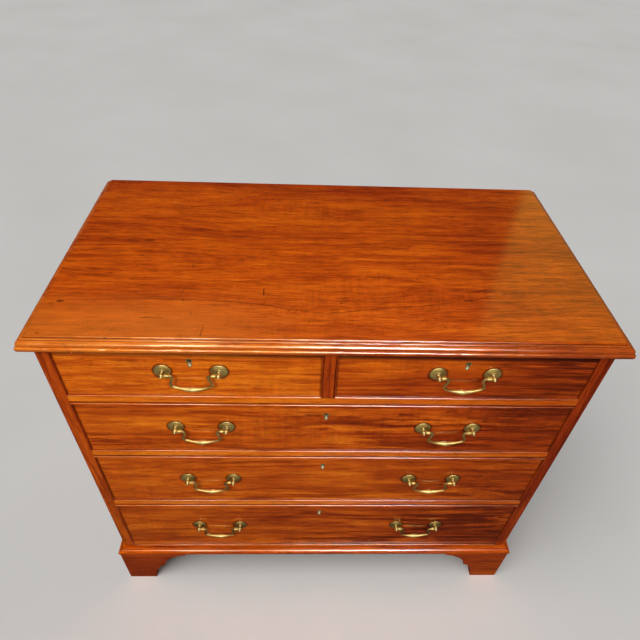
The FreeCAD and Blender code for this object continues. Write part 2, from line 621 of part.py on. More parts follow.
def drawer(tag, x0, x1, z_open, open_tall, tails, handles):
    za = z_open + S["gap_under"]
    zt = z_open + open_tall - S["gap_top"]
    xa, xb = x0 + S["gap_side"], x1 - S["gap_side"]
    xc = (x0 + x1) / 2
    t, ft_ = S["wall_thick"], S["front_thick"]
    y_back = yf + S["drawer_deep"]
    z_wall = zt - S["wall_low"]                   # top of the sides
    z_floor = za + S["bottom_up"]
    z_load = z_floor + S["bottom_thick"]
    bt, bd = S["bead_thick"], S["bead_deep"]
    # dovetails: tails on the sides, lapped at the front, through at the back
    ends = {}
    low = z_load + 1
    for corner_, (w0, w1) in (("l", (xa, xa + t)), ("r", (xb - t, xb))):
        for where in ("front", "back"):
            lo = za + 6 if where == "front" else low
            hi = zt - S["wall_low"] - 5 if where == "front" else z_wall - 10
            pitch = (hi - lo) / tails
            made = []
            for k in range(tails):
                a = lo + k * pitch + pitch * 0.16
                b_ = lo + (k + 1) * pitch - pitch * 0.16
                if where == "front":
                    y0, y1 = yf + ft_ - S["tail_long"], yf + ft_
                    near, far = (a - 1.8, b_ + 1.8), (a, b_)
                else:
                    y0, y1 = y_back - t, y_back
                    near, far = (a, b_), (a - 1.6, b_ + 1.6)
                made.append(wedge("%s_tail_%s_%s%d" % (tag, where, corner_, k), w0, w1, y0, y1, near, far))
            ends[where, corner_] = made
    walls = []
    for corner_, (w0, w1), (g0, g1) in (
            ("l", (xa, xa + t), (xa + t - S["bottom_groove"], xa + t)),
            ("r", (xb - t, xb), (xb - t, xb - t + S["bottom_groove"]))):
        raw = fuse("%s_side_%s_raw" % (tag, corner_), [
            box("%s_side_%s_plank" % (tag, corner_), w0, w1, yf + ft_, y_back - t, za, z_wall),
            box("%s_side_%s_heel" % (tag, corner_), w0, w1, y_back - t, y_back, za, z_load)]
            + ends["front", corner_] + ends["back", corner_])
        walls.append(cut("%s_side_%s" % (tag, {"l": "left", "r": "right"}[corner_]), raw, [
            box("%s_side_%s_groove" % (tag, corner_), g0, g1, yf + ft_ - S["tail_long"], y_back, z_floor, z_load)]))
    back = cut(tag + "_back", box(tag + "_back_plank", xa, xb, y_back - t, y_back, z_load, z_wall - 6),
               ends["back", "l"] + ends["back", "r"])
    nodes[tag + "_box"] = group(tag + "_box", walls + [back])
    nodes[tag + "_bottom"] = box(tag + "_bottom", xa + t - S["bottom_groove"], xb - t + S["bottom_groove"],
                                 yf + ft_ - 6, y_back, z_floor, z_load)
    # front: rebated for the beads, bored for posts, lock let in behind
    zk = zt - S["key_drop"]
    lock_x0, lock_x1 = xc - S["lock_wide"] / 2, xc + S["lock_wide"] / 2
    lock_y0 = yf + ft_ - S["lock_deep"]
    lock_z0 = zt - S["lock_tall"]
    zh = (za + zt) / 2 + S["handle_raise"]
    posts = [(hx + s * S["pitch"] / 2, s, hx) for hx in handles for s in (-1, 1)]
    tools = [box(tag + "_rebate_low", xa, xb, yf, yf + bd, za, za + bt),
             box(tag + "_rebate_high", xa, xb, yf, yf + bd, zt - bt, zt),
             box(tag + "_rebate_l", xa, xa + bt, yf, yf + bd, za, zt),
             box(tag + "_rebate_r", xb - bt, xb, yf, yf + bd, za, zt),
             box(tag + "_front_groove", xa + t - S["bottom_groove"], xb - t + S["bottom_groove"],
                 yf + ft_ - 6, yf + ft_, z_floor, z_load),
             box(tag + "_lock_bed", lock_x0, lock_x1, lock_y0, yf + ft_, lock_z0, zt),
             keyhole(tag + "_lining_bed", xc, zk, yf - 1, yf + S["lining_deep"], S["lining"]),
             keyhole(tag + "_key_way", xc, zk, yf, lock_y0 + 0.5, 0)]
    for k, (px, s, hx) in enumerate(posts):
        tools.append(cyl("%s_post_bore_%d" % (tag, k), S["shank_radius"] + S["bore_play"], ft_ + 2,
                         (px, yf - 1, zh), "+y"))
    nodes[tag + "_front"] = cut(tag + "_front", box(tag + "_front_plank", xa, xb, yf, yf + ft_, za, zt),
                                tools + ends["front", "l"] + ends["front", "r"])
    # keyhole lining, a hair proud of the wood
    nodes[tag + "_escutcheon"] = cut(
        tag + "_escutcheon", keyhole(tag + "_lining", xc, zk, yf - 0.2, yf + S["lining_deep"], S["lining"]),
        [keyhole(tag + "_lining_hole", xc, zk, yf - 1.2, yf + S["lining_deep"] + 1, 0)])
    # cockbeads
    beads = []
    w, hgt = xb - xa, zt - za
    for side, pts in (("low", [(0, 0), (w, 0), (w - bt, bt), (bt, bt)]),
                      ("high", [(0, hgt), (bt, hgt - bt), (w - bt, hgt - bt), (w, hgt)]),
                      ("left", [(0, 0), (bt, bt), (bt, hgt - bt), (0, hgt)]),
                      ("right", [(w, 0), (w, hgt), (w - bt, hgt - bt), (w - bt, bt)])):
        body, p = pad("%s_bead_%s" % (tag, side), "XZ_Plane", pts, bd + S["bead_proud"], (xa, yf + bd, za))
        beads.append((body, p, side))
    nodes[tag + "_cockbead"] = group(tag + "_cockbead", [b_[0] for b_ in beads])
    bead_list.extend(beads)
    # lock: iron case with a keyhole and a channel for the bolt
    bx0, bx1 = xc - bolt_half, xc + bolt_half
    bz0 = zt - S["bolt_tall"] - 0.8
    nodes[tag + "_lock"] = cut(tag + "_lock", box(tag + "_lock_case", lock_x0, lock_x1, lock_y0, yf + ft_, lock_z0, zt), [
        box(tag + "_bolt_way", bx0, bx1, bolt_y0, bolt_y1, bz0, zt),
        keyhole(tag + "_lock_hole", xc, zk, lock_y0, lock_y0 + 7, 0)])
    nodes[tag + "_lock_bolt"] = box(tag + "_lock_bolt", bx0 + S["bolt_play"], bx1 - S["bolt_play"],
                                    bolt_y0 + S["bolt_play"], bolt_y1 - S["bolt_play"],
                                    zt - S["bolt_tall"] - 0.4, zt - 0.4)
    # handle mounts: a rose, a turned post and a nut at each end of a handle
    mounts = []
    for k, (px, s, hx) in enumerate(posts):
        name = "%s_mount_%d" % (tag, k)
        rr, hole = S["rose_radius"], S["neck_radius"] + S["bore_play"]
        mounts.append(revolve(name + "_rose", [
            (hole, 0), (rr, 0), (rr, 1.1), (rr - 1.1, 2.4), (rr - 2.5, 2.4), (rr - 3.6, 1.5),
            (7.2, 1.9), (5.6, 3.2), (hole, 3.2)], (px, yf, zh), ((0, 0, 1), 180)))
        turned = fuse(name + "_turned", [
            cyl(name + "_shank", S["shank_radius"], ft_ + 7, (px, yf, zh), "+y"),
            cyl(name + "_neck", S["neck_radius"], S["pivot_out"], (px, yf, zh), "-y"),
            cyl(name + "_collar", 4.3, 1.6, (px, yf - 3.7, zh), "-y"),
            ball(name + "_knop", S["ball_radius"], (px, yf - S["pivot_out"], zh)),
            ball(name + "_tip", S["tip_radius"], (px, yf - S["tip_out"], zh))])
        reach_ = S["ball_radius"] + 2.4
        mounts.append(cut(name + "_post", turned, [
            cyl(name + "_eye", S["bail_radius"] + S["pin_play"], reach_,
                (px - s * (S["ball_radius"] + 0.6), yf - S["pivot_out"], zh), "+x" if s > 0 else "-x")]))
        nut = doc.addObject("Part::Prism", name + "_nut_blank")
        nut.Polygon = 6
        bind(nut, "Circumradius", S["nut_radius"])
        bind(nut, "Height", S["nut_tall"])
        put(nut, px, yf + ft_, zh, (1, 0, 0), -90)
        mounts.append(cut(name + "_nut", nut, [
            cyl(name + "_nut_bore", S["shank_radius"] + S["bore_play"], S["nut_tall"] + 2, (px, yf + ft_ - 1, zh), "+y")]))
    nodes[tag + "_handle_mounts"] = group(tag + "_handle_mounts", mounts)
    for k, hx in enumerate(handles):
        name = tag + "_bail" + ("" if len(handles) == 1 else ("_left", "_right")[k])
        o = doc.addObject("Part::Feature", name)
        o.Shape = BAIL
        put(o, hx, yf - S["pivot_out"], zh)
        nodes[name] = o


bead_list = []
drawer("short_left", -inner, -div, z1, S["open_one"], 3, [-short_x])
drawer("short_right", div, inner, z1, S["open_one"], 3, [short_x])
drawer("long_upper", -inner, inner, z2, S["open_two"], 4, [-short_x, short_x])
drawer("long_middle", -inner, inner, z3, S["open_three"], 5, [-short_x, short_x])
drawer("long_lower", -inner, inner, z4, S["open_four"], 6, [-short_x, short_x])
doc.recompute()

# the beads' rounded noses
for body, p, side in bead_list:
    shape = p.Shape.copy()
    level = min(v.Point.y for v in shape.Vertexes)

    def long_front(a, b, level=level, side=side):
        if abs(a.y - level) > 1e-6 or abs(b.y - level) > 1e-6:
            return False
        return abs(a.z - b.z) < 1e-6 if side in ("low", "high") else abs(a.x - b.x) < 1e-6

    fillet(body, p, edges_of(shape, long_front), S["bead_nose"], body.Name + "_nose")
doc.recompute()

# ------------------------------------------------------ checks and files ----
bad = [o.Name for o in doc.Objects if "Invalid" in o.State or "Error" in o.State]
if bad:
    raise RuntimeError("failed objects: " + ", ".join(bad))
for name, o in nodes.items():
    o.Label = name
    if o.Shape.isNull() or not o.Shape.isValid() or not o.Shape.Solids:
        raise RuntimeError("bad shape: " + name)
if len(nodes) > 60:
    raise RuntimeError("too many nodes: %d" % len(nodes))
os.makedirs("parts", exist_ok=True)
for name, o in nodes.items():
    o.Shape.exportStep("parts/%s.step" % name)
    print("%-28s solids %2d  volume %.1f cm3" % (name, len(o.Shape.Solids), o.Shape.Volume / 1000))
print(len(nodes), "nodes")
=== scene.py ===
"""Looks of the chest of drawers: polished mahogany, dry oak and pine inside, old brass.

Everything is in metres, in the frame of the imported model: +Z up, front towards -Y.
"""

import json
import math

import bmesh
import bpy
import numpy as np
from mathutils import Matrix, Vector

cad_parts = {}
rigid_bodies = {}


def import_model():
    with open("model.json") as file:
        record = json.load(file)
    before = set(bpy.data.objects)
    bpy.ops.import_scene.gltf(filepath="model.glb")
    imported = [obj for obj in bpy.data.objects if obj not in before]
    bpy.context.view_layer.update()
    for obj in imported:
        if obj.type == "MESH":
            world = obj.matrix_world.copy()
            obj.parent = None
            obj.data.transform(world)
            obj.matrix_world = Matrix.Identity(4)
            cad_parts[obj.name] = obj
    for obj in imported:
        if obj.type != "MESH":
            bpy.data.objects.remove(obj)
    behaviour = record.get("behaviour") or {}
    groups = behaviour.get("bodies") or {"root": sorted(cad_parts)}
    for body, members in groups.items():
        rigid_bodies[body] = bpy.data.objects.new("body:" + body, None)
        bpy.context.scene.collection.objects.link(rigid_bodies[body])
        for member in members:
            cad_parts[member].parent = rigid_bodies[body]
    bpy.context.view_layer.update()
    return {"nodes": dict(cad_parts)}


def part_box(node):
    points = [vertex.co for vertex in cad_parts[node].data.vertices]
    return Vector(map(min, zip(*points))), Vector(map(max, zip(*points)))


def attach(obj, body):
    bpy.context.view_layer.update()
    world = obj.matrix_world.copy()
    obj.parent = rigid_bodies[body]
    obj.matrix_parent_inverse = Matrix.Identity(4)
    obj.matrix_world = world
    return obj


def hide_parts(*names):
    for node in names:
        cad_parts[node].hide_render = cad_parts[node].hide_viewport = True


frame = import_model()
NODES = frame["nodes"]
MM = 0.001

DRAWERS = ("short_left", "short_right", "long_upper", "long_middle", "long_lower")
FRONT = -0.2275          # the plane of the drawer fronts and the case's front edges
HANDLE_X = 0.219         # centre of a handle, left or right
HANDLE_Z = {"short_left": 0.7564, "short_right": 0.7564, "long_upper": 0.6114,
            "long_middle": 0.4424, "long_lower": 0.2494}
POST = 0.0445            # from a handle's centre to each post
PIVOT_Y = FRONT - 0.0105


# ------------------------------------------------------------------ node trees
class Shader:
    """A material under construction, with short calls for its nodes."""

    def __init__(self, name):
        self.mat = bpy.data.materials.new(name)
        self.mat.use_nodes = True
        self.tree = self.mat.node_tree
        self.tree.nodes.clear()
        self.out = self.tree.nodes.new("ShaderNodeOutputMaterial")
        self.bsdf = self.tree.nodes.new("ShaderNodeBsdfPrincipled")
        self.tree.links.new(self.bsdf.outputs[0], self.out.inputs[0])

    def put(self, socket, value):
        if isinstance(value, bpy.types.NodeSocket):
            self.tree.links.new(value, socket)
        elif isinstance(value, (tuple, list)) and len(value) == 3 and len(socket.default_value) == 4:
            socket.default_value = (*value, 1.0)
        else:
            socket.default_value = value

    def set(self, **values):
        for name, value in values.items():
            self.put(self.bsdf.inputs[name.replace("_", " ")], value)

    def math(self, op, a, b=0.0, c=0.0, clamp=False):
        n = self.tree.nodes.new("ShaderNodeMath")
        n.operation, n.use_clamp = op, clamp
        for socket, value in zip(n.inputs, (a, b, c)):
            self.put(socket, value)
        return n.outputs[0]

    def add(self, a, b):
        return self.math("ADD", a, b)

    def mul(self, a, b):
        return self.math("MULTIPLY", a, b)

    def about(self, value, gain):
        """(value - 0.5) * gain"""
        return self.math("MULTIPLY_ADD", value, gain, -0.5 * gain)

    def xyz(self):
        n = self.tree.nodes.new("ShaderNodeTexCoord")
        s = self.tree.nodes.new("ShaderNodeSeparateXYZ")
        self.tree.links.new(n.outputs["Object"], s.inputs[0])
        return s.outputs[0], s.outputs[1], s.outputs[2]

    def vec(self, x, y, z):
        n = self.tree.nodes.new("ShaderNodeCombineXYZ")
        for socket, value in zip(n.inputs, (x, y, z)):
            self.put(socket, value)
        return n.outputs[0]

    def stretch(self, vector, scale):
        n = self.tree.nodes.new("ShaderNodeVectorMath")
        n.operation = "MULTIPLY"
        self.put(n.inputs[0], vector)
        n.inputs[1].default_value = scale
        return n.outputs[0]

    def noise(self, vector, scale=(1, 1, 1), detail=2.0, rough=0.5, distort=0.0):
        n = self.tree.nodes.new("ShaderNodeTexNoise")
        n.inputs["Scale"].default_value = 1.0
        n.inputs["Detail"].default_value = detail
        n.inputs["Roughness"].default_value = rough
        n.inputs["Distortion"].default_value = distort
        self.put(n.inputs["Vector"], self.stretch(vector, scale))
        return n.outputs[0]

    def voronoi(self, vector, scale=(1, 1, 1), feature="F1"):
        n = self.tree.nodes.new("ShaderNodeTexVoronoi")
        n.feature = feature
        n.inputs["Scale"].default_value = 1.0
        self.put(n.inputs["Vector"], self.stretch(vector, scale))
        return n.outputs["Distance"], n.outputs["Color"]

    def step(self, value, low, high):
        """0 below low, 1 above high, smooth between; low may be the larger."""
        n = self.tree.nodes.new("ShaderNodeMapRange")
        n.interpolation_type = "SMOOTHSTEP"
        self.put(n.inputs["Value"], value)
        flip = low > high
        n.inputs["From Min"].default_value = high if flip else low
        n.inputs["From Max"].default_value = low if flip else high
        n.inputs["To Min"].default_value = 1.0 if flip else 0.0
        n.inputs["To Max"].default_value = 0.0 if flip else 1.0
        return n.outputs[0]

    def ramp(self, fac, stops):
        n = self.tree.nodes.new("ShaderNodeValToRGB")
        e = n.color_ramp.elements
        while len(e) < len(stops):
            e.new(0.5)
        for k, (p, c) in enumerate(stops):
            e[k].position = p
            e[k].color = (*c, 1.0)
        self.put(n.inputs[0], fac)
        return n.outputs[0]

    def mix(self, fac, a, b, blend="MIX"):
        n = self.tree.nodes.new("ShaderNodeMix")
        n.data_type, n.blend_type, n.clamp_factor = "RGBA", blend, True
        self.put(n.inputs["Factor"], fac)
        self.put(n.inputs[6], a)
        self.put(n.inputs[7], b)
        return n.outputs[2]

    def dim(self, colour, value):
        """colour times a plain number, both varying over the surface."""
        n = self.tree.nodes.new("ShaderNodeVectorMath")
        n.operation = "SCALE"
        self.put(n.inputs[0], colour)
        self.put(n.inputs["Scale"], value)
        return n.outputs[0]

    def attribute(self, name):
        n = self.tree.nodes.new("ShaderNodeAttribute")
        n.attribute_name = name
        return n.outputs["Fac"]

    def bump(self, height, distance, strength=1.0, normal=None):
        n = self.tree.nodes.new("ShaderNodeBump")
        n.inputs["Strength"].default_value = strength
        n.inputs["Distance"].default_value = distance
        self.put(n.inputs["Height"], height)
        if normal is not None:
            self.put(n.inputs["Normal"], normal)
        return n.outputs[0]


def along(grain, x, y, z):
    """(along the grain, across the face, through the board) for a grain direction."""
    return {"x": (x, y, z), "y": (y, x, z), "z": (z, x, y)}[grain]


def pick(s, mask, first, second):
    """first where mask is 0, second where it is 1, for three coordinates each."""
    return tuple(s.math("MULTIPLY_ADD", s.math("SUBTRACT", b, a), mask, a)
                 for a, b in zip(first, second))


def near_edges(s, x, y, z, box, axes, reach):
    """1 at the given sides of a box, 0 further in than reach."""
    got = None
    for a in axes:
        c = (x, y, z)["xyz".index(a)]
        lo, hi = box[0]["xyz".index(a)], box[1]["xyz".index(a)]
        d = s.math("MINIMUM", s.math("SUBTRACT", c, lo), s.math("SUBTRACT", hi, c))
        got = d if got is None else s.math("MINIMUM", got, d)
    return s.step(got, reach, 0.0)


# --------------------------------------------------------------------- woods
GOLD = [(0.0, (0.130, 0.0140, 0.0008)), (0.30, (0.310, 0.0430, 0.0011)), (0.55, (0.470, 0.0800, 0.0016)),
        (0.80, (0.620, 0.1300, 0.0028)), (1.0, (0.740, 0.2000, 0.0065))]
RED = [(0.0, (0.070, 0.0062, 0.0006)), (0.30, (0.195, 0.0185, 0.0008)), (0.55, (0.320, 0.0360, 0.0012)),
       (0.80, (0.440, 0.0610, 0.0019)), (1.0, (0.540, 0.0950, 0.0033))]


def mahogany(name, grain="x", seed=0.0, gold=0.5, tone=0.0, figure=0.5, fine=1.0, box=None, edges="",
             masks=None, marks=None, wear=False, gloss=1.0, fade_and_shade=None, broad_gain=0.5, sway=0.075, thready=0.74,
             pores=0.38, blotch=0.0, streaky=0.86, patchy=0.0, ripples=0.025, wear_fade=None):
    """French-polished mahogany with its grain along an axis.

    masks(s, x, y, z) gives (mask, other axis) pairs where the grain turns; fade_and_shade is (from x, to x, change
    of tone) for a board that darkens towards one end, partly its own colour and partly painted shade; marks adds the
    dents, scratches and painted shade of one particular board.
    """
    s = Shader(name)
    x, y, z = s.xyz()
    u, v, w = along(grain, x, y, z)
    if masks:
        for mask, other in masks(s, x, y, z):
            u, v, w = pick(s, mask, (u, v, w), along(other, x, y, z))
    place = s.vec(s.add(u, seed * 1.37), s.add(v, seed * 0.713), s.add(w, seed * 0.291))
    slow = s.noise(place, (0.9, 4.0, 4.0), 2.0, 0.5)
    quick = s.noise(place, (6.0, 24.0, 24.0), 2.0, 0.5)
    wild = s.step(s.noise(place, (3.2, 11.0, 11.0), 2.0, 0.5), 0.50, 0.66)
    kink = s.noise(place, (22.0, 48.0, 48.0), 2.0, 0.5)
    wander = s.add(s.add(s.about(slow, sway), s.about(quick, 0.012)), s.mul(s.about(kink, 0.012), wild))
    v2 = s.add(s.add(v, seed * 0.713), wander)
    w2 = s.add(s.add(w, seed * 0.291), s.mul(wander, 0.6))
    flow = s.vec(s.add(u, seed * 1.37), v2, w2)
    broad = s.noise(flow, (1.0, 15.0, 15.0), 2.0, 0.55)
    drift = s.noise(flow, (1.6, 9.0, 9.0), 3.0, 0.5)
    patch = s.noise(flow, (8.0, 55.0, 55.0), 3.0, 0.55)
    streak = s.noise(flow, (7.5, 170.0, 170.0), 4.0, 0.66)
    thread = s.noise(flow, (24.0, 480.0, 480.0), 3.0, 0.68)
    value = s.add(s.add(s.about(broad, broad_gain), s.about(patch, 0.46)),
                  s.add(s.about(streak, streaky * fine), s.about(thread, thready * fine)))
    stripe = s.step(s.noise(flow, (4.2, 74.0, 74.0), 3.0, 0.62, 0.3), 0.43, 0.59)
    bunch = s.step(s.noise(flow, (2.2, 13.0, 13.0), 2.0, 0.5), 0.42, 0.60)
    ribbon = s.mul(s.math("SUBTRACT", 0.44, stripe), s.math("MULTIPLY_ADD", bunch, 0.42 * figure, 0.22 * figure))
    value = s.add(s.add(value, 0.52 + tone), ribbon)
    if blotch:
        value = s.add(value, s.about(s.noise(place, (11.0, 21.0, 21.0), 2.0, 0.5), blotch))
    # darker towards one end: partly the board's own colour, partly painted shade where less light falls
    if fade_and_shade:
        value = s.add(value, s.mul(s.step(x, fade_and_shade[0], fade_and_shade[1]), fade_and_shade[2]))
    value = s.math("ADD", value, 0.0, clamp=True)
    warm = s.add(s.about(drift, 1.9), s.about(patch, 0.9))
    if patchy:
        warm = s.add(warm, s.about(s.noise(place, (6.5, 15.0, 15.0), 3.0, 0.55), patchy))
    warm = s.math("ADD", warm, gold, clamp=True)
    colour = s.mix(warm, s.ramp(value, RED), s.ramp(value, GOLD))
    # thin dark veins, then short dark pores
    vein = s.step(s.noise(flow, (9.0, 190.0, 190.0), 3.0, 0.65), 0.56, 0.70)
    colour = s.mix(s.mul(vein, 0.24 + 0.28 * figure), colour, (0.060, 0.0068, 0.0012))
    curl = s.noise(flow, (38.0, 11.0, 11.0), 3.0, 0.55)
    ripple_grain = s.mul(s.about(s.noise(flow, (150.0, 16.0, 16.0), 2.0, 0.5), 0.55), wild)
    colour = s.dim(colour, s.add(s.add(1.0, s.about(curl, 0.30)), ripple_grain))
    pore = s.noise(flow, (48.0, 900.0, 900.0), 2.0, 0.6)
    holes = s.step(pore, 0.57, 0.70)
    dash = s.step(s.noise(flow, (26.0, 380.0, 380.0), 2.0, 0.6), 0.60, 0.72)
    colour = s.dim(colour, s.math("MULTIPLY_ADD", s.math("MAXIMUM", holes, dash), -pores, 1.0))
    rough = s.add(0.32, s.about(s.noise(place, (9.0, 23.0, 23.0), 3.0, 0.6), 0.20))
    height = s.add(s.mul(thread, 0.35), s.mul(holes, -0.6))
    if marks:
        dent, colour = marks(s, x, y, z, colour)
        height = s.add(height, s.mul(dent, -2.0))
    if box is not None and edges:
        # darker near the given sides of the board, broken by noise
        darker_edges = s.mul(near_edges(s, x, y, z, box, edges, 0.0072),
                     s.step(s.noise(place, (30.0, 30.0, 30.0), 3.0, 0.6), 0.10, 0.50))
        colour = s.mix(s.mul(darker_edges, 0.92), colour, (0.034, 0.0050, 0.0012))
    if wear:
        # painted highlight and wear: arrises and bead noses are painted paler, partly rubbed polish and partly the
        # light they catch, fading out towards one end where asked
        worn_and_lit, dirty = s.attribute("wear"), s.attribute("grime")
        if wear_fade:
            worn_and_lit = s.mul(worn_and_lit, s.math("MULTIPLY_ADD", s.step(x, wear_fade[0], wear_fade[1]), -wear_fade[2], 1.0))
        rubbed = s.step(s.noise(place, (16.0, 70.0, 70.0), 3.0, 0.6), 0.36, 0.62)
        colour = s.mix(s.mul(s.mul(worn_and_lit, rubbed), 0.70), colour, (0.760, 0.270, 0.048))
        colour = s.mix(s.mul(dirty, 0.85), colour, (0.026, 0.0060, 0.0020))
        rough = s.math("ADD", rough, s.mul(dirty, 0.25), clamp=True)
    # the polish lies in faint ripples over the grain
    ripple = s.noise(place, (9.0, 19.0, 19.0), 2.0, 0.5)
    skin = s.bump(ripple, 0.0011, ripples)
    s.set(Base_Color=colour, Roughness=rough, Normal=s.bump(height, 0.00010, 0.55, skin),
          Coat_Weight=gloss, Coat_Roughness=0.10, Coat_Normal=skin, Coat_IOR=1.5,
          Specular_IOR_Level=0.05)
    return s.mat


def oak(name, grain="y", seed=0.0, masks=None, box=None):
    """Dry quartered oak of the drawer linings, darkened by handling."""
    s = Shader(name)
    x, y, z = s.xyz()
    u, v, w = along(grain, x, y, z)
    if masks:
        for mask, other in masks(s, x, y, z):
            u, v, w = pick(s, mask, (u, v, w), along(other, x, y, z))
    place = s.vec(s.add(u, seed * 1.13), s.add(v, seed * 0.61), s.add(w, seed * 0.37))
    wander = s.about(s.noise(place, (1.4, 6.0, 6.0), 2.0), 0.05)
    flow = s.vec(s.add(u, seed * 1.13), s.add(s.add(v, seed * 0.61), wander), s.add(w, s.mul(wander, 0.7)))
    rings = s.noise(flow, (1.0, 120.0, 120.0), 3.0, 0.6)
    broad = s.noise(flow, (0.8, 14.0, 14.0), 2.0)
    pore = s.noise(flow, (45.0, 1300.0, 1300.0), 2.0, 0.6)
    value = s.math("ADD", s.add(s.about(rings, 1.0), s.about(broad, 0.8)), 0.5, clamp=True)
    colour = s.ramp(value, [(0.0, (0.150, 0.085, 0.034)), (0.4, (0.270, 0.165, 0.072)),
                            (0.7, (0.360, 0.235, 0.112)), (1.0, (0.440, 0.305, 0.155))])
    # medullary flakes lie across the rings
    flake = s.step(s.noise(flow, (38.0, 150.0, 32.0), 2.0, 0.5, 0.6), 0.62, 0.70)
    colour = s.mix(s.mul(flake, 0.40), colour, (0.50, 0.36, 0.20))
    holes = s.step(pore, 0.56, 0.68)
    colour = s.dim(colour, s.math("MULTIPLY_ADD", holes, -0.42, 1.0))
    stain = s.step(s.noise(place, (5.0, 8.0, 8.0), 4.0, 0.65), 0.52, 0.78)
    colour = s.mix(s.mul(stain, 0.40), colour, (0.105, 0.060, 0.028))
    if box is not None:
        rub = s.mul(near_edges(s, x, y, z, box, "z", 0.014), s.step(s.noise(place, (18.0, 40.0, 40.0), 3.0), 0.35, 0.6))
        colour = s.mix(s.mul(rub, 0.5), colour, (0.085, 0.047, 0.022))
    s.set(Base_Color=colour, Roughness=s.add(0.62, s.about(broad, 0.25)),
          Normal=s.bump(s.add(s.mul(rings, 0.5), s.mul(holes, -1.0)), 0.00035, 0.7), Specular_IOR_Level=0.22)
    return s.mat


def pine(name, grain="x", seed=0.0, masks=None, knots=True, dark=0.0, boards=None, faced=False):
    """Old unpolished pine of the carcase, brown and dusty.

    boards is (first edge, width) along X of boards that lie side by side; faced stains the front edge.
    """
    s = Shader(name)
    x, y, z = s.xyz()
    u, v, w = along(grain, x, y, z)
    if boards:
        count = s.math("MULTIPLY", s.math("SUBTRACT", x, boards[0]), 1.0 / boards[1])
        which = s.math("FLOOR", count)
        part = s.math("FRACT", count)
        edge = s.mul(s.math("MINIMUM", part, s.math("SUBTRACT", 1.0, part)), boards[1])
        u, v = s.add(u, s.mul(which, 1.93)), s.add(v, s.mul(which, 0.731))
    if masks:
        for mask, other in masks(s, x, y, z):
            u, v, w = pick(s, mask, (u, v, w), along(other, x, y, z))
    place = s.vec(s.add(u, seed * 0.91), s.add(v, seed * 0.53), s.add(w, seed * 0.43))
    wander = s.about(s.noise(place, (1.1, 4.5, 4.5), 2.0), 0.10)
    if knots:
        far, _ = s.voronoi(place, (2.6, 8.0, 8.0))
        eye = s.step(far, 0.17, 0.03)
        wander = s.add(wander, s.mul(eye, 0.016))
    v2 = s.add(s.add(v, seed * 0.53), wander)
    flow = s.vec(s.add(u, seed * 0.91), v2, s.add(w, s.mul(wander, 0.6)))
    wave = s.math("SINE", s.mul(s.add(v2, s.about(s.noise(flow, (0.7, 9.0, 9.0), 2.0), 0.08)), 620.0))
    late = s.step(wave, -0.1, 0.95)
    broad = s.noise(flow, (0.9, 12.0, 12.0), 3.0, 0.6)
    fibre = s.noise(flow, (16.0, 700.0, 700.0), 3.0, 0.6)
    value = s.add(s.mul(late, -0.30), s.add(s.about(broad, 0.9), s.about(fibre, 0.45)))
    if boards:
        value = s.add(value, s.mul(s.math("SINE", s.mul(which, 2.3)), 0.13))
    value = s.math("ADD", value, 0.66 - dark, clamp=True)
    colour = s.ramp(value, [(0.0, (0.085, 0.042, 0.016)), (0.35, (0.205, 0.110, 0.045)),
                            (0.7, (0.345, 0.205, 0.090)), (1.0, (0.440, 0.285, 0.140))])
    if knots:
        colour = s.mix(s.mul(s.step(far, 0.085, 0.02), 0.85), colour, (0.060, 0.026, 0.010))
    dust = s.step(s.noise(place, (6.0, 6.0, 6.0), 4.0, 0.65), 0.48, 0.75)
    colour = s.mix(s.mul(dust, 0.30), colour, (0.150, 0.118, 0.085))
    if boards:
        colour = s.mix(s.mul(s.step(edge, 0.0022, 0.0005), 0.85), colour, (0.022, 0.013, 0.007))
    if faced:
        colour = s.mix(s.step(y, FRONT + 0.004, FRONT + 0.003), colour, s.ramp(value, RED))
    s.set(Base_Color=colour, Roughness=s.add(0.74, s.about(broad, 0.2)),
          Normal=s.bump(s.add(s.mul(late, 0.5), s.mul(fibre, 0.5)), 0.0005, 0.6), Specular_IOR_Level=0.18)
    return s.mat


# -------------------------------------------------------------------- metals
def brass(name, seed=0.0, painted=True, metal=1.0, painted_light_foot=None):
    """Old brass: rubbed brighter on what hands touch, the posts painted paler as a highlight; brown in the hollows; a
    keyhole lining painted pale low inside as if lit, dark above as if in shade.
    """
    s = Shader(name)
    x, y, z = s.xyz()
    place = s.vec(s.add(x, seed * 0.37), s.add(y, seed * 0.11), s.add(z, seed * 0.23))
    cloud = s.noise(place, (95.0, 95.0, 95.0), 4.0, 0.62)
    speck = s.noise(place, (900.0, 900.0, 900.0), 3.0, 0.6)
    colour = s.ramp(s.math("ADD", s.about(cloud, 1.5), 0.5, clamp=True),
                    [(0.0, (0.360, 0.235, 0.052)), (0.45, (0.560, 0.410, 0.125)), (1.0, (0.740, 0.590, 0.240))])
    if painted:
        dirty = s.math("MULTIPLY", s.attribute("grime"), s.add(0.60, s.about(cloud, 1.2)), clamp=True)
        # paler where rubbed; on the posts partly a painted highlight
        colour = s.mix(s.mul(s.attribute("wear"), 0.5), colour, (0.840, 0.700, 0.330))
    else:
        dirty = s.mul(s.step(cloud, 0.50, 0.70), 0.45)
    colour = s.mix(dirty, colour, (0.062, 0.044, 0.014))
    # painted light and shade in the keyhole: the lining's lower inner wall is painted pale as if lit from above, the
    # rest painted dark as if in shade
    if painted_light_foot is not None:
        inside = s.step(y, FRONT + 0.0001, FRONT + 0.0008)
        low = s.step(z, painted_light_foot + 0.0066, painted_light_foot + 0.0026)
        colour = s.mix(s.mul(inside, low), s.mix(0.75, colour, (0.045, 0.030, 0.011)), (0.860, 0.780, 0.560))
    pit = s.step(speck, 0.60, 0.74)
    colour = s.mix(s.mul(pit, 0.40), colour, (0.140, 0.100, 0.034))
    rough = s.math("ADD", s.add(0.39, s.about(cloud, 0.16)), s.add(s.mul(dirty, 0.20), s.mul(pit, 0.08)), clamp=True)
    s.set(Base_Color=colour, Metallic=metal, Roughness=rough,
          Normal=s.bump(s.add(s.mul(speck, 0.35), cloud), 0.00010, 0.5))
    return s.mat


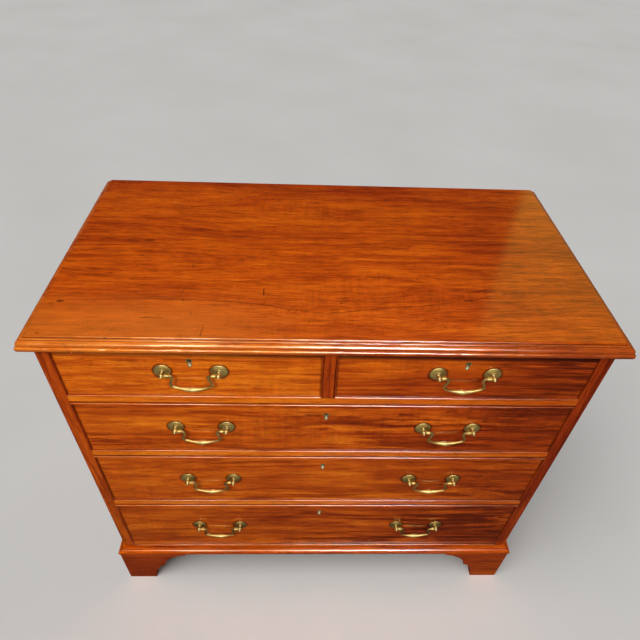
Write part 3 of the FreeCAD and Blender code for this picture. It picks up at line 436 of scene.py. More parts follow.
def iron(name, seed=0.0):
    """Dark wrought iron of the locks, filed once and since rusted in places."""
    s = Shader(name)
    x, y, z = s.xyz()
    place = s.vec(s.add(x, seed * 0.31), s.add(y, seed * 0.17), z)
    cloud = s.noise(place, (60.0, 60.0, 60.0), 4.0, 0.65)
    file = s.noise(place, (90.0, 900.0, 1500.0), 2.0, 0.5)
    rust = s.step(s.noise(place, (130.0, 130.0, 130.0), 4.0, 0.7), 0.52, 0.68)
    colour = s.ramp(cloud, [(0.25, (0.070, 0.065, 0.062)), (0.55, (0.165, 0.155, 0.148)), (0.8, (0.260, 0.245, 0.232))])
    colour = s.mix(s.mul(rust, 0.75), colour, (0.130, 0.050, 0.018))
    s.set(Base_Color=colour, Metallic=0.85, Roughness=s.add(s.add(0.40, s.about(file, 0.2)), s.mul(rust, 0.35)),
          Normal=s.bump(s.add(s.mul(file, 0.4), s.mul(rust, 0.6)), 0.0002, 0.6))
    return s.mat


# ----------------------------------------------------------- building pieces
def new_piece(name, verts, faces, materials, body, stands_for, soft_angle=38.0, attributes=None, kinds=None):
    """A mesh piece in the row frame that rides on a body and stands for CAD nodes."""
    mesh = bpy.data.meshes.new(name)
    mesh.from_pydata([tuple(p) for p in verts], [], [tuple(f) for f in faces])
    for key, values in (attributes or {}).items():
        mesh.attributes.new(key, "FLOAT", "POINT").data.foreach_set("value", np.asarray(values, np.float32))
    for m in materials if isinstance(materials, (list, tuple)) else [materials]:
        mesh.materials.append(m)
    if kinds is not None:
        mesh.polygons.foreach_set("material_index", kinds)
    bm = bmesh.new()
    bm.from_mesh(mesh)
    bmesh.ops.recalc_face_normals(bm, faces=bm.faces)
    bm.to_mesh(mesh)
    bm.free()
    mesh.shade_smooth()
    mesh.set_sharp_from_angle(angle=math.radians(soft_angle))
    obj = bpy.data.objects.new(name, mesh)
    bpy.context.scene.collection.objects.link(obj)
    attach(obj, body)
    if stands_for:
        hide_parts(*stands_for)
    return obj


class Mesh:
    """Collects vertices, faces and per-vertex values of one piece."""

    def __init__(self):
        self.v, self.f, self.grime, self.wear, self.kind = [], [], [], [], []

    def points(self, pts, grime=0.0, wear=0.0):
        start = len(self.v)
        self.v.extend(pts)
        self.grime.extend([grime] * len(pts))
        self.wear.extend([wear] * len(pts))
        return list(range(start, start + len(pts)))

    def face(self, ring, kind=0):
        self.f.append(tuple(ring))
        self.kind.append(kind)

    def grid(self, rows, closed_u=False, closed_v=False, grime=None, wear=None, kind=0):
        """rows[i][j] are points; neighbours are joined with quads. grime and wear are per row."""
        ids = [self.points(row, grime[i] if grime is not None else 0.0, wear[i] if wear is not None else 0.0)
               for i, row in enumerate(rows)]
        n, m = len(rows), len(rows[0])
        for a in range(n if closed_u else n - 1):
            for c in range(m if closed_v else m - 1):
                b, d = (a + 1) % n, (c + 1) % m
                self.face((ids[a][c], ids[a][d], ids[b][d], ids[b][c]), kind)
        return ids

    def piece(self, name, materials, body, stands_for, soft_angle=38.0):
        return new_piece(name, self.v, self.f, materials, body, stands_for, soft_angle,
                         {"grime": self.grime, "wear": self.wear}, self.kind)


def turned(mesh, profile, cx, cz, y0, segments=48, closed=True, phase=0.0):
    """A turned shape about an axis along Y. profile holds (radius, height out of y0 towards -Y, grime, wear), in mm."""
    rows = []
    for r, h, *_ in profile:
        ring = []
        for k in range(segments):
            a = 2 * math.pi * (k + phase) / segments
            ring.append((cx + r * MM * math.cos(a), y0 - h * MM, cz + r * MM * math.sin(a)))
        rows.append(ring)
    ids = mesh.grid(rows, closed_u=closed, closed_v=True,
                    grime=[p[2] if len(p) > 2 else 0.0 for p in profile],
                    wear=[p[3] if len(p) > 3 else 0.0 for p in profile])
    if not closed:
        mesh.face(ids[0][::-1])
        mesh.face(ids[-1])


def arc(cx, cy, r, a0, a1, n):
    """n + 1 points of an arc, angles in degrees."""
    return [(cx + r * math.cos(math.radians(a0 + (a1 - a0) * k / n)),
             cy + r * math.sin(math.radians(a0 + (a1 - a0) * k / n))) for k in range(n + 1)]


def rose_profile():
    """Half section of a rose: thin rim, a shallow dome with two turned lines, a bead round the post."""
    p = [(3.02, 0.0, 1.0, 0.0), (13.5, 0.0, 1.0, 0.0), (13.92, 0.25, 0.9, 0.0), (14.0, 0.65, 0.6, 0.2), (13.9, 1.0, 0.3, 0.6)]
    for k in range(25):
        r = 13.66 - 7.6 * k / 24
        line = math.exp(-((r - 11.4) / 0.30) ** 2) + 0.8 * math.exp(-((r - 8.3) / 0.30) ** 2)
        h = 0.50 + 3.2 * math.sqrt(1 - (r / 14.1) ** 2) - 0.17 * line
        p.append((r, h, min(1.0, 0.30 + 0.6 * line), max(0.0, 0.30 - line)))
    p += [(5.90, 3.30, 0.95, 0.0)]
    for r, h in arc(4.95, 3.50, 0.80, -10, 150, 8):
        p.append((r, h, 0.15, 0.7))
    p += [(4.15, 3.72, 0.9, 0.0), (3.02, 3.72, 1.0, 0.0)]
    return p


def post_profile():
    """Half section of a post: shank through the drawer front, collar, ball and tip."""
    # the collar, ball and tip are painted paler: partly rubbed brass, partly a painted highlight
    p = [(2.0, -27.0, 0.6, 0.0), (2.4, -26.6, 0.6, 0.0), (2.4, -20.0, 0.6, 0.0), (2.4, -0.4, 0.6, 0.0),
         (2.98, 0.0, 0.8, 0.0), (2.98, 3.74, 0.9, 0.0), (3.10, 3.95, 0.9, 0.0)]
    for r, h in arc(2.65, 5.15, 1.20, -68, 68, 10):
        p.append((r, h, 0.08, 0.9))
    p += [(2.90, 6.45, 0.8, 0.0), (2.75, 6.70, 0.9, 0.0), (2.80, 6.95, 0.8, 0.1)]
    for r, h in arc(0.0, 10.5, 4.50, -50, 50, 18):
        p.append((r, h, 0.08 + 0.25 * abs(h - 10.5) / 3.4, 0.8))
    p += [(2.65, 14.02, 0.9, 0.0), (2.50, 14.14, 0.9, 0.0)]
    for r, h in arc(0.0, 14.05, 2.45, 6, 85, 9):
        p.append((r, h, 0.05, 1.0))
    return p


def nut(mesh, cx, cz, y0, y1):
    """A hand-cut hexagonal nut with its corners turned off, between two planes."""
    rows = []
    for y, r in ((y0, 4.6), (y0 + 0.0006, 5.15), (y1 - 0.0007, 5.15), (y1, 4.5)):
        rows.append([(cx + r * MM * math.cos(math.pi / 3 * k + 0.2), y, cz + r * MM * math.sin(math.pi / 3 * k + 0.2))
                     for k in range(6)])
    inner = [[(cx + 2.42 * MM * math.cos(math.pi / 3 * k + 0.2), y, cz + 2.42 * MM * math.sin(math.pi / 3 * k + 0.2))
              for k in range(6)] for y in (y1, y0)]
    mesh.grid(rows + inner, closed_u=True, closed_v=True, grime=[0.6] * 6)


def handle_mounts(tag):
    mesh = Mesh()
    z = HANDLE_Z[tag]
    centres = {"short_left": [-HANDLE_X], "short_right": [HANDLE_X]}.get(tag, [-HANDLE_X, HANDLE_X])
    for c in centres:
        for side in (-1, 1):
            cx = c + side * POST
            turned(mesh, rose_profile(), cx, z, FRONT, 64)
            turned(mesh, post_profile(), cx, z, FRONT, 40, closed=False)
            nut(mesh, cx, z, FRONT + 0.020, FRONT + 0.024)
    return mesh.piece(tag + "_brass_mounts", BRASS[tag], tag + "_drawer", [tag + "_handle_mounts"], 32.0)


BAIL = dict(drop=32.5, bow=66.0, half=29.5, low=6.0, neck=5.0, lean=111.0)


def bail_line():
    """Centre line of a bail, its right half from the middle of the grip out to the post, and its radius, in mm."""
    drop, bow, half, low, neck = (BAIL[k] for k in ("drop", "bow", "half", "low", "neck"))
    t1, t2 = math.asin(half / bow), math.radians(BAIL["lean"])
    p1 = (half, -drop + bow - bow * math.cos(t1))
    c2 = (p1[0] - low * math.sin(t1), p1[1] + low * math.cos(t1))
    p2 = (c2[0] + low * math.sin(t2), c2[1] - low * math.cos(t2))
    z3 = -(neck - neck * math.cos(t2))
    p3x = p2[0] + (z3 - p2[1]) / math.sin(t2) * math.cos(t2)
    c3 = (p3x + neck * math.sin(t2), -neck)
    pts = [(bow * math.sin(t1 * k / 30), -drop + bow - bow * math.cos(t1 * k / 30)) for k in range(31)]
    pts += [(c2[0] + low * math.sin(t1 + (t2 - t1) * k / 12), c2[1] - low * math.cos(t1 + (t2 - t1) * k / 12))
            for k in range(1, 13)]
    pts += [(p2[0] + (p3x - p2[0]) * k / 8, p2[1] + (z3 - p2[1]) * k / 8) for k in range(1, 9)]
    pts += [(c3[0] - neck * math.sin(t2 - t2 * k / 12), c3[1] + neck * math.cos(t2 - t2 * k / 12))
            for k in range(1, 13)]
    pts += [(c3[0] + (45.5 - c3[0]) * k / 18, 0.0) for k in range(1, 19)]
    line = np.array(pts)
    for _ in range(6):      # eases the changes of curvature between the bends
        line[30:-18] = 0.25 * line[29:-19] + 0.5 * line[30:-18] + 0.25 * line[31:-17]
    run = np.concatenate([[0], np.cumsum(np.hypot(*np.diff(line, axis=0).T))])
    radius = []
    for (px, pz), d in zip(line, run):
        if d < 28.0:
            radius.append(2.15 + 2.20 * math.exp(-(d / 13.0) ** 2) + 0.35 * math.exp(-(d / 3.2) ** 2))
        elif pz > -0.9 and d > 45:
            t = min(1.0, max(0.0, (px - 31.0) / 3.0))
            e = min(1.0, max(0.0, (40.6 - px) / 0.9))
            radius.append(2.30 + 0.95 * t * t * (3 - 2 * t) * e)
        else:
            radius.append(2.15 + 0.15 * min(1.0, (d - 28.0) / 14.0))
    return line, np.array(radius)


def bail(name, cx, cz, material):
    line, radius = bail_line()
    line = np.concatenate([line[:0:-1] * np.array([-1, 1]), line])
    radius = np.concatenate([radius[:0:-1], radius])
    tangent = np.gradient(line, axis=0)
    tangent /= np.linalg.norm(tangent, axis=1)[:, None]
    normal = np.stack([-tangent[:, 1], tangent[:, 0]], 1)
    mesh = Mesh()
    rows, grime, wear = [], [], []
    segments = 24
    for (px, pz), (nx, nz), r in zip(line, normal, radius):
        ring = []
        for k in range(segments):
            a = 2 * math.pi * k / segments
            c, s = math.cos(a) * r, math.sin(a) * r
            ring.append((cx + (px + nx * c) * MM, PIVOT_Y + s * MM, cz + (pz + nz * c) * MM))
        rows.append(ring)
        grime.append(0.12 + 0.55 * max(0.0, 1 - abs(abs(px) - 31.0) / 6.0) * (pz > -24))
        wear.append(max(0.0, 1 - abs(px) / 24.0) if pz < -24 else 0.1)
    ids = mesh.grid(rows, closed_v=True, grime=grime, wear=wear)
    mesh.face(ids[0][::-1])
    mesh.face(ids[-1])
    return mesh.piece(name + "_brass", material, name, [name], 50.0)


def wobble(t, seed, period):
    """A smooth wandering value between about -1 and 1 along a length t."""
    rng = np.random.default_rng(seed)
    got = 0.0
    for k in range(5):
        got = got + rng.uniform(0.3, 1.0) * np.sin(2 * math.pi * (t / (period * rng.uniform(0.35, 1.6)) + rng.uniform(0, 1)))
    return got / 2.4


def edge_profile():
    """Section of the moulded edge: (inset from the rim, depth below the top, grime, wear), in mm, top to underside."""
    # pale values on the arrises and shoulders are partly rubbed polish, partly painted highlight
    p = [(15.2, 0.0, 0.0, 0.0)]
    for k in range(1, 7):
        a = math.radians(15 * k)
        p.append((14.85 - 1.35 * math.sin(a), 1.35 - 1.35 * math.cos(a), 0.0, 0.8 if 1 < k < 5 else 0.2))
    p += [(13.48, 1.85, 0.8, 0.0), (13.44, 2.05, 1.0, 0.0), (13.25, 2.22, 1.0, 0.0), (12.85, 2.22, 0.6, 0.0),
          (11.4, 2.16, 0.1, 0.1), (10.3, 2.18, 0.0, 0.3)]
    for k in range(1, 6):
        a = math.radians(18 * k)
        p.append((9.95 - 1.05 * math.sin(a), 3.23 - 1.05 * math.cos(a), 0.0, 0.8 if k < 4 else 0.2))
    p += [(8.86, 3.45, 0.9, 0.0), (8.70, 3.60, 1.0, 0.0), (8.2, 3.50, 0.5, 0.0)]
    for k in range(1, 17):
        a = math.radians(90 - 90 * k / 16)
        p.append((8.4 - 6.0 * math.cos(a), 9.4 - 6.0 * math.sin(a), max(0.0, 0.30 - 0.09 * k), 0.55 if 2 < k < 14 else 0.1))
    p += [(2.40, 11.2, 0.05, 0.0), (2.38, 11.95, 0.55, 0.0), (2.50, 12.28, 0.9, 0.0), (2.75, 12.40, 0.6, 0.0)]
    for k in range(0, 11):
        a = math.radians(84 - 84 * k / 10)
        p.append((2.65 - 2.65 * math.cos(a), 15.05 - 2.65 * math.sin(a), 0.0, 0.9 if 1 < k < 8 else 0.3))
    p += [(0.0, 15.9, 0.05, 0.2), (0.05, 17.3, 0.1, 0.0)]
    for k in range(1, 9):
        a = math.radians(90 * k / 8)
        p.append((4.5 - 4.45 * math.cos(a), 17.5 + 4.5 * math.sin(a), 0.15 + 0.07 * k, 0.0))
    return p


CHIPS = [(-0.3325, 0.9), (-0.226, 1.1), (-0.1075, 0.6), (0.012, 0.7), (0.196, 0.8), (0.283, 0.6), (-0.415, 1.0), (0.405, 0.9)]


def moulded_top(material):
    """The top board: moulded front and ends, plain back, with the joiner's pockets underneath."""
    half, back, front, high = 0.466, 0.2445, -0.2445, 0.832
    prof = edge_profile()
    prof.insert(0, (prof[0][0] + 3.0, 0.0, 0.0, 0.0))             # a flat margin keeps the polished face's normals straight
    n_end, n_corner, n_front = 90, 7, 190
    mesh = Mesh()
    loops = []
    for k, (inset, deep, grime, wear) in enumerate(prof, -1):
        i, z = inset * MM, high - deep * MM
        rc = 0.0004 + 0.0026 * max(0.0, 1 - inset / 12.0)        # corners are a little rubbed round
        xr, yr = half - i, front + i
        pts, normals = [], []
        for t in range(n_end):
            pts.append((-xr, back + (yr + rc - back) * t / n_end))
            normals.append((-1.0, 0.0))
        for t in range(n_corner):
            a = math.pi + math.pi / 2 * t / (n_corner - 1)
            pts.append((-xr + rc + rc * math.cos(a), yr + rc + rc * math.sin(a)))
            normals.append((math.cos(a), math.sin(a)))
        for t in range(1, n_front):
            pts.append((-xr + rc + (2 * xr - 2 * rc) * t / n_front, yr))
            normals.append((0.0, -1.0))
        for t in range(n_corner):
            a = 1.5 * math.pi + math.pi / 2 * t / (n_corner - 1)
            pts.append((xr - rc + rc * math.cos(a), yr + rc + rc * math.sin(a)))
            normals.append((math.cos(a), math.sin(a)))
        for t in range(1, n_end + 1):
            pts.append((xr, yr + rc + (back - yr - rc) * t / n_end))
            normals.append((1.0, 0.0))
        pts, normals = np.array(pts), np.array(normals)
        run = np.concatenate([[0], np.cumsum(np.hypot(*np.diff(pts, axis=0).T))])
        # the hand-planed section wanders a little; the arrises are dented and chipped
        on_flat = 1.0 if deep > 0.02 and deep < 21.9 else 0.0
        in_out = (0.14 * wobble(run, 3, 0.11) + 0.07 * wobble(run, 11 + k, 0.045)) * on_flat - 0.16 * on_flat
        up = (0.10 * wobble(run, 29, 0.16) + 0.05 * wobble(run, 57 + k, 0.05)) * on_flat
        depth = np.zeros(len(pts))
        if 12.6 < deep < 16.0:
            for cx, size in CHIPS:
                near = np.clip(1 - np.abs(pts[:, 0] - cx) / (0.0035 + 0.002 * size), 0, 1) * (normals[:, 1] < -0.9)
                depth += 1.05 * size * near ** 0.7 * max(0.0, 1 - abs(deep - 13.6) / 2.6)
        if 0.02 < deep < 0.7:
            for cx, size in CHIPS:
                near = np.clip(1 - np.abs(pts[:, 0] + 0.7 * cx + 0.05) / 0.005, 0, 1) * (normals[:, 1] < -0.9)
                depth += 0.35 * size * near
        pts = pts + normals * ((in_out - depth) * MM)[:, None]
        heights = z + np.minimum(up, high - z if deep > 0.02 else 0.0) * MM - depth * 0.35 * MM
        loops.append([(float(a), float(b), float(min(c, high))) for (a, b), c in zip(pts, heights)])
    loops = [[(a, min(b, back), c) for a, b, c in loop] for loop in loops]
    for loop in loops:
        for end in (0, -1):
            loop[end] = (loop[end][0], back, loop[end][2])
    ids = mesh.grid(loops, grime=[p[2] for p in prof], wear=[p[3] for p in prof])
    mesh.face(ids[0])                                             # the flat top
    under = high - 0.022
    rim = ids[-1]
    # the underside: a frame round a grid of cells, some of them sunk
    pockets = [(-0.443, -0.435, -0.1975, 0.2345, 0.006), (0.435, 0.443, -0.1975, 0.2345, 0.006),
               (-0.005, 0.005, -0.2195, -0.1795, 0.006), (-0.230, -0.208, -0.2162, -0.2088, 0.008),
               (0.208, 0.230, -0.2162, -0.2088, 0.008)]
    xs = sorted({-0.450, 0.450} | {v for q in pockets for v in q[:2]})
    ys = sorted({-0.228, 0.240} | {v for q in pockets for v in q[2:4]})
    flat = {}

    def vertex(store, a, b, level):
        key = (a, b, level)
        if key not in store:
            store[key] = mesh.points([(xs[a], ys[b], under + level)], 0.2)[0]
        return store[key]

    level = {}
    for a in range(len(xs) - 1):
        for b in range(len(ys) - 1):
            cx, cy = (xs[a] + xs[a + 1]) / 2, (ys[b] + ys[b + 1]) / 2
            level[a, b] = max([q[4] for q in pockets if q[0] < cx < q[1] and q[2] < cy < q[3]] or [0.0])
            h = level[a, b]
            mesh.face([vertex(flat, p, q, h) for p, q in ((a, b), (a, b + 1), (a + 1, b + 1), (a + 1, b))])
    for (a, b), h in level.items():
        for other, p, q in (((a + 1, b), (a + 1, b), (a + 1, b + 1)), ((a, b + 1), (a, b + 1), (a + 1, b + 1))):
            g = level.get(other, 0.0)
            if other in level and g != h:
                mesh.face([vertex(flat, *p, h), vertex(flat, *q, h), vertex(flat, *q, g), vertex(flat, *p, g)])
    nx, ny = len(xs), len(ys)
    left = [vertex(flat, 0, b, 0.0) for b in range(ny)]
    right = [vertex(flat, nx - 1, b, 0.0) for b in range(ny)]
    near = [vertex(flat, a, 0, 0.0) for a in range(nx)]
    far = [vertex(flat, a, ny - 1, 0.0) for a in range(nx)]
    c0, c1 = n_end + n_corner // 2, n_end + n_corner + n_front - 1 + n_corner // 2
    mesh.face(rim[:c0 + 1] + left)                                # left of the cells, front to back
    mesh.face(rim[c0:c1 + 1] + near[::-1])
    mesh.face(rim[c1:] + right[::-1])
    mesh.face([rim[-1], rim[0]] + far)
    mesh.face([loop[0] for loop in ids] + [loop[-1] for loop in ids][::-1])   # the plain back edge
    return mesh.piece("top_board", material, "case", ["top"], 34.0)


def cockbead(tag, along_x, upright):
    """Four mitred strips round a drawer front, each with a rubbed half-round nose standing proud."""
    (x0, _, z0), (x1, _, z1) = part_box(tag + "_cockbead")
    thick, back, nose = 0.0032, -0.2205, -0.2305
    r = thick / 2
    section = [(0.0, back), (0.0, (back + nose) / 2)]
    for k in range(0, 13):
        a = math.pi * k / 12
        section.append((r - r * math.cos(a), nose + r - r * math.sin(a)))
    section += [(thick, (back + nose) / 2), (thick, back)]
    mesh = Mesh()
    corners = [(x0, z0), (x1, z0), (x1, z1), (x0, z1)]
    inward = [(0, 1), (-1, 0), (0, -1), (1, 0)]
    for side in range(4):
        (ax, az), (bx, bz) = corners[side], corners[(side + 1) % 4]
        px, pz = inward[side]
        length = math.hypot(bx - ax, bz - az)
        dx, dz = (bx - ax) / length, (bz - az) / length
        steps = max(12, int(length / 0.009))
        rows, grime, wear = [], [], []
        for t, y in section:
            proud = max(0.0, (FRONT - y) / 0.003)
            row = []
            for k in range(steps + 1):
                f = k / steps
                run = t + (length - 2 * t) * f
                bend = (0.05 * wobble(run + 3.1 * side, 71 + side, 0.12)) * MM * min(1.0, proud) * min(1.0, 12 * f, 12 - 12 * f)
                rub = 0.07 * MM * (0.5 + 0.5 * wobble(run, 5 + side, 0.07)) * max(0.0, proud)
                row.append((ax + dx * run + px * (t + bend), y + rub * (proud > 0.5), az + dz * run + pz * (t + bend)))
            rows.append(row)
            # paler on the side that faces up, partly rubbed polish and partly painted highlight; darker where it meets
            # the wood
            up = t / thick if side == 0 else 1 - t / thick
            wear.append(0.35 * max(0.0, min(1.0, proud * 1.6)) * (0.35 + 0.65 * up) if side in (0, 2) else 0.0)
            grime.append(max(0.0, 1 - 1.15 * proud) if y < FRONT + 0.0015 else 0.9)
        ids = mesh.grid(rows, closed_u=True, grime=grime, wear=wear, kind=side % 2)
        mesh.face([row[0] for row in ids][::-1], side % 2)
        mesh.face([row[-1] for row in ids], side % 2)
    return mesh.piece(tag + "_beads", [along_x, upright], tag + "_drawer", [tag + "_cockbead"], 40.0)


def softened(obj, width, segments=2, angle=35.0, weld=0.00002):
    """Eases the arrises of a CAD node that stays as it is."""
    m = obj.modifiers.new("weld", "WELD")
    m.merge_threshold = weld
    m = obj.modifiers.new("ease", "BEVEL")
    m.width, m.segments, m.limit_method = width, segments, "ANGLE"
    m.angle_limit = math.radians(angle)
    m.harden_normals = False
    m.use_clamp_overlap = True
    m = obj.modifiers.new("normals", "WEIGHTED_NORMAL")
    m.keep_sharp = True


def dress(node, material, width=0.0006, segments=2, angle=35.0):
    obj = NODES[node]
    obj.data.materials.clear()
    obj.data.materials.append(material)
    if width:
        softened(obj, width, segments, angle)
    return obj


# ------------------------------------------------------------------ the scene
BRASS = {tag: brass("brass_" + tag, seed=k * 1.7) for k, tag in enumerate(DRAWERS)}
SLOT_FOOT = {"short_left": 0.767, "short_right": 0.767, "long_upper": 0.634, "long_middle": 0.477, "long_lower": 0.296}
CAST = {tag: brass("brass_lining_" + tag, seed=9.1 + k, painted=False, metal=0.30, painted_light_foot=SLOT_FOOT[tag])
        for k, tag in enumerate(DRAWERS)}
IRON = iron("lock_iron")


def spot(s, x, y, at, size):
    """Distance from a point of the top, 1 on an ellipse of the given half sizes."""
    dx = s.math("MULTIPLY", s.math("SUBTRACT", x, at[0] * MM), 1.0 / (size[0] * MM))
    dy = s.math("MULTIPLY", s.math("SUBTRACT", y, at[1] * MM), 1.0 / (size[1] * MM))
    return s.math("SQRT", s.add(s.mul(dx, dx), s.mul(dy, dy)))


def scratch(s, x, y, a, b, width):
    """1 on a short straight scratch between two points of the top."""
    ax, ay, bx, by = (v * MM for v in (*a, *b))
    ll = (bx - ax) ** 2 + (by - ay) ** 2
    px, py = s.math("SUBTRACT", x, ax), s.math("SUBTRACT", y, ay)
    t = s.math("MULTIPLY", s.add(s.mul(px, bx - ax), s.mul(py, by - ay)), 1.0 / ll, clamp=True)
    middle = s.math("MULTIPLY_ADD", t, 2.0, -1.0)
    wide = s.math("MULTIPLY_ADD", s.mul(middle, middle), -0.75, 1.0)
    ex, ey = s.math("SUBTRACT", px, s.mul(t, bx - ax)), s.math("SUBTRACT", py, s.mul(t, by - ay))
    d = s.math("SQRT", s.add(s.mul(ex, ex), s.mul(ey, ey)))
    return s.step(s.math("DIVIDE", d, wide), width * MM, 0.25 * width * MM)


def top_marks(s, x, y, z, colour):
    """Knots, a long cathedral line, dents and scratches of the top board, a paler front left, and painted shade towards
    the right of the moulding.
    """
    fuzz = s.noise(s.vec(x, y, z), (160.0, 160.0, 160.0), 3.0, 0.6)
    bent_x = s.add(x, s.about(s.noise(s.vec(x, y, 0.3), (70.0, 70.0, 1.0), 2.0, 0.5), 0.007))
    bent_y = s.add(y, s.about(s.noise(s.vec(x, y, 0.9), (70.0, 70.0, 1.0), 2.0, 0.5), 0.005))
    dent = None
    for at, size, deep in (((-324, 22), (15, 5), 0.9), ((-352, 19), (16, 3.2), 0.55), ((-425, -151), (9, 4.5), 0.85),
                           ((-437, -157), (8, 2.5), 0.5), ((229, -135), (14, 4.0), 0.9), ((-437, 62), (10, 7), 0.3),
                           ((-172, 175), (3.2, 2.2), 0.9), ((-34, 223), (3, 2), 0.8), ((177, -200), (3.5, 2), 0.8),
                           ((18, -146), (3.4, 2.4), 0.9), ((151, -80), (3.2, 2), 0.85), ((151, 17), (4, 2), 0.7),
                           ((-434, -224), (4, 2.2), 0.8), ((-334, -231), (4.5, 1.8), 0.8)):
        m = s.mul(s.step(s.add(spot(s, x, y, at, size), s.about(fuzz, 0.9)), 1.0, 0.25), deep)
        dent = m if dent is None else s.math("MAXIMUM", dent, m)
    for a, b, width, deep in (((-235, -48), (-231, -60), 1.6, 0.8), ((-107, -111), (-109, -132), 2.0, 0.95),
                              ((-194, -202), (-197, -228), 1.6, 0.75), ((-298, -186), (-259, -187), 1.8, 0.7),
                              ((68, -64), (63, -79), 1.0, 0.45), ((87, -55), (86, -84), 1.1, 0.5),
                              ((-239, -114), (-238, -126), 1.2, 0.5), ((-235, -139), (-233, -153), 1.2, 0.5),
                              ((-219, -168), (-216, -183), 1.2, 0.5), ((-302, -164), (-301, -185), 1.1, 0.35),
                              ((-225, -222), (-224, -237), 1.2, 0.55), ((-154, -187), (-165, -208), 1.1, 0.4),
                              ((-124, -150), (-132, -172), 1.1, 0.4), ((-50, -151), (-57, -173), 1.1, 0.4),
                              ((-29, -182), (-37, -196), 1.1, 0.5), ((217, -139), (269, -123), 1.5, 0.55)):
        dent = s.math("MAXIMUM", dent, s.mul(scratch(s, bent_x, bent_y, a, b, width), deep))
    web = None
    for angle, long, thin, rare in ((24.0, 13.0, 620.0, 0.70), (-38.0, 16.0, 700.0, 0.70), (83.0, 22.0, 760.0, 0.71)):
        c, n = math.cos(math.radians(angle)), math.sin(math.radians(angle))
        line = s.noise(s.vec(s.add(s.mul(bent_x, c), s.mul(bent_y, n)), s.add(s.mul(bent_x, -n), s.mul(bent_y, c)), 0.0),
                       (long, thin, 1.0), 0.0, 0.5)
        m = s.step(line, rare, rare + 0.07)
        web = m if web is None else s.math("MAXIMUM", web, m)
    dent = s.math("MAXIMUM", dent, s.mul(web, 0.30))
    curve = s.tree.nodes.new("ShaderNodeFloatCurve")
    c = curve.mapping.curves[0]
    line = [(-400, -140), (-305, -142), (-234, -143), (-123, -150), (-53, -165), (-1, -170), (45, -163), (108, -155),
            (169, -146), (233, -132), (310, -113), (400, -96)]
    pts = [((px + 500) / 1000, (py + 250) / 250) for px, py in line]
    c.points[0].location, c.points[1].location = pts[0], pts[-1]
    for q in pts[1:-1]:
        c.points.new(*q)
    curve.mapping.update()
    s.put(curve.inputs["Value"], s.math("ADD", x, 0.5))
    course = s.math("MULTIPLY_ADD", curve.outputs[0], 0.25, -0.25)
    off = s.add(s.math("SUBTRACT", y, course), s.about(fuzz, 0.0022))
    broken = s.step(s.noise(s.vec(x, y, z), (22.0, 3.0, 3.0), 3.0, 0.6), 0.34, 0.56)
    lines = s.mul(s.mul(s.step(s.math("ABSOLUTE", off), 0.0019, 0.0004), broken), 0.85)
    for rise, width, deep in ((0.027, 0.0016, 0.5), (0.052, 0.0014, 0.35), (-0.021, 0.0014, 0.35)):
        more = s.step(s.math("ABSOLUTE", s.math("SUBTRACT", off, rise)), width, 0.0003)
        lines = s.math("MAXIMUM", lines, s.mul(s.mul(more, broken), deep))
    inside = s.mul(s.step(x, -0.33, -0.27), s.step(x, 0.36, 0.28))
    lines = s.mul(lines, inside)
    # the front left of the top is made paler
    paler_front_left = s.mul(s.step(y, -0.10, -0.21), s.step(x, 0.02, -0.26))
    colour = s.mix(s.mul(paler_front_left, 0.42), colour, (0.560, 0.155, 0.016))
    moulding_shade = s.mul(s.step(z, 0.8308, 0.8296), s.step(x, 0.14, 0.42))     # painted shade: the moulding is darker towards the right
    colour = s.mix(s.mul(moulding_shade, 0.40), colour, (0.150, 0.032, 0.012))
    colour = s.mix(s.mul(lines, 0.78), colour, (0.075, 0.0090, 0.0015))
    colour = s.mix(s.mul(dent, 0.88), colour, (0.040, 0.0050, 0.0012))
    return s.math("MAXIMUM", dent, s.mul(lines, 0.3)), colour


def overhang_shadow(s, x, y, z, colour):
    """Painted shadow of the top's overhang across the upper edge of the short drawers' fronts, stronger towards the
    right.
    """
    painted_shade_band = s.mul(s.step(z, 0.7830, 0.7925), s.math("MULTIPLY_ADD", s.step(x, -0.42, 0.12), 0.52, 0.34))
    return s.mul(painted_shade_band, 0.1), s.mix(painted_shade_band, colour, (0.030, 0.0040, 0.0012))


def rose_wax_and_shade(tag):
    """Dark ring round the roses of a drawer's handles, partly old wax and partly their painted contact shadow; on the
    short drawers the painted shadow of the top's overhang too.
    """
    def marks(s, x, y, z, colour):
        off = s.math("ABSOLUTE", s.math("SUBTRACT", s.math("ABSOLUTE", x), HANDLE_X))
        dx = s.math("SUBTRACT", off, POST)
        dz = s.math("SUBTRACT", z, HANDLE_Z[tag] - 0.0008)
        far = s.math("SQRT", s.add(s.mul(dx, dx), s.mul(dz, dz)))
        fuzz = s.noise(s.vec(x, y, z), (140.0, 140.0, 140.0), 2.0, 0.5)
        # painted shade: a dark ring round each rose, partly old wax and partly the rose's contact shadow
        ring = s.step(s.add(far, s.about(fuzz, 0.0030)), 0.0188, 0.0142)
        dent, colour = overhang_shadow(s, x, y, z, colour) if tag.startswith("short") else (s.mul(ring, 0.0), colour)
        return dent, s.mix(s.mul(ring, 0.80), colour, (0.026, 0.0040, 0.0012))
    return marks


def rail_gap_shade(s, x, y, z, colour):
    """Painted shade along the edges of the rails, standing in for the dark gaps where the drawers meet them."""
    near = None
    for edge in (0.339, 0.355, 0.520, 0.536, 0.677, 0.693):
        d = s.math("ABSOLUTE", s.math("SUBTRACT", z, edge))
        near = d if near is None else s.math("MINIMUM", near, d)
    painted_shade_band = s.mul(s.step(near, 0.0022, 0.0004), 0.85)
    return s.mul(painted_shade_band, 0.1), s.mix(painted_shade_band, colour, (0.034, 0.0045, 0.0012))


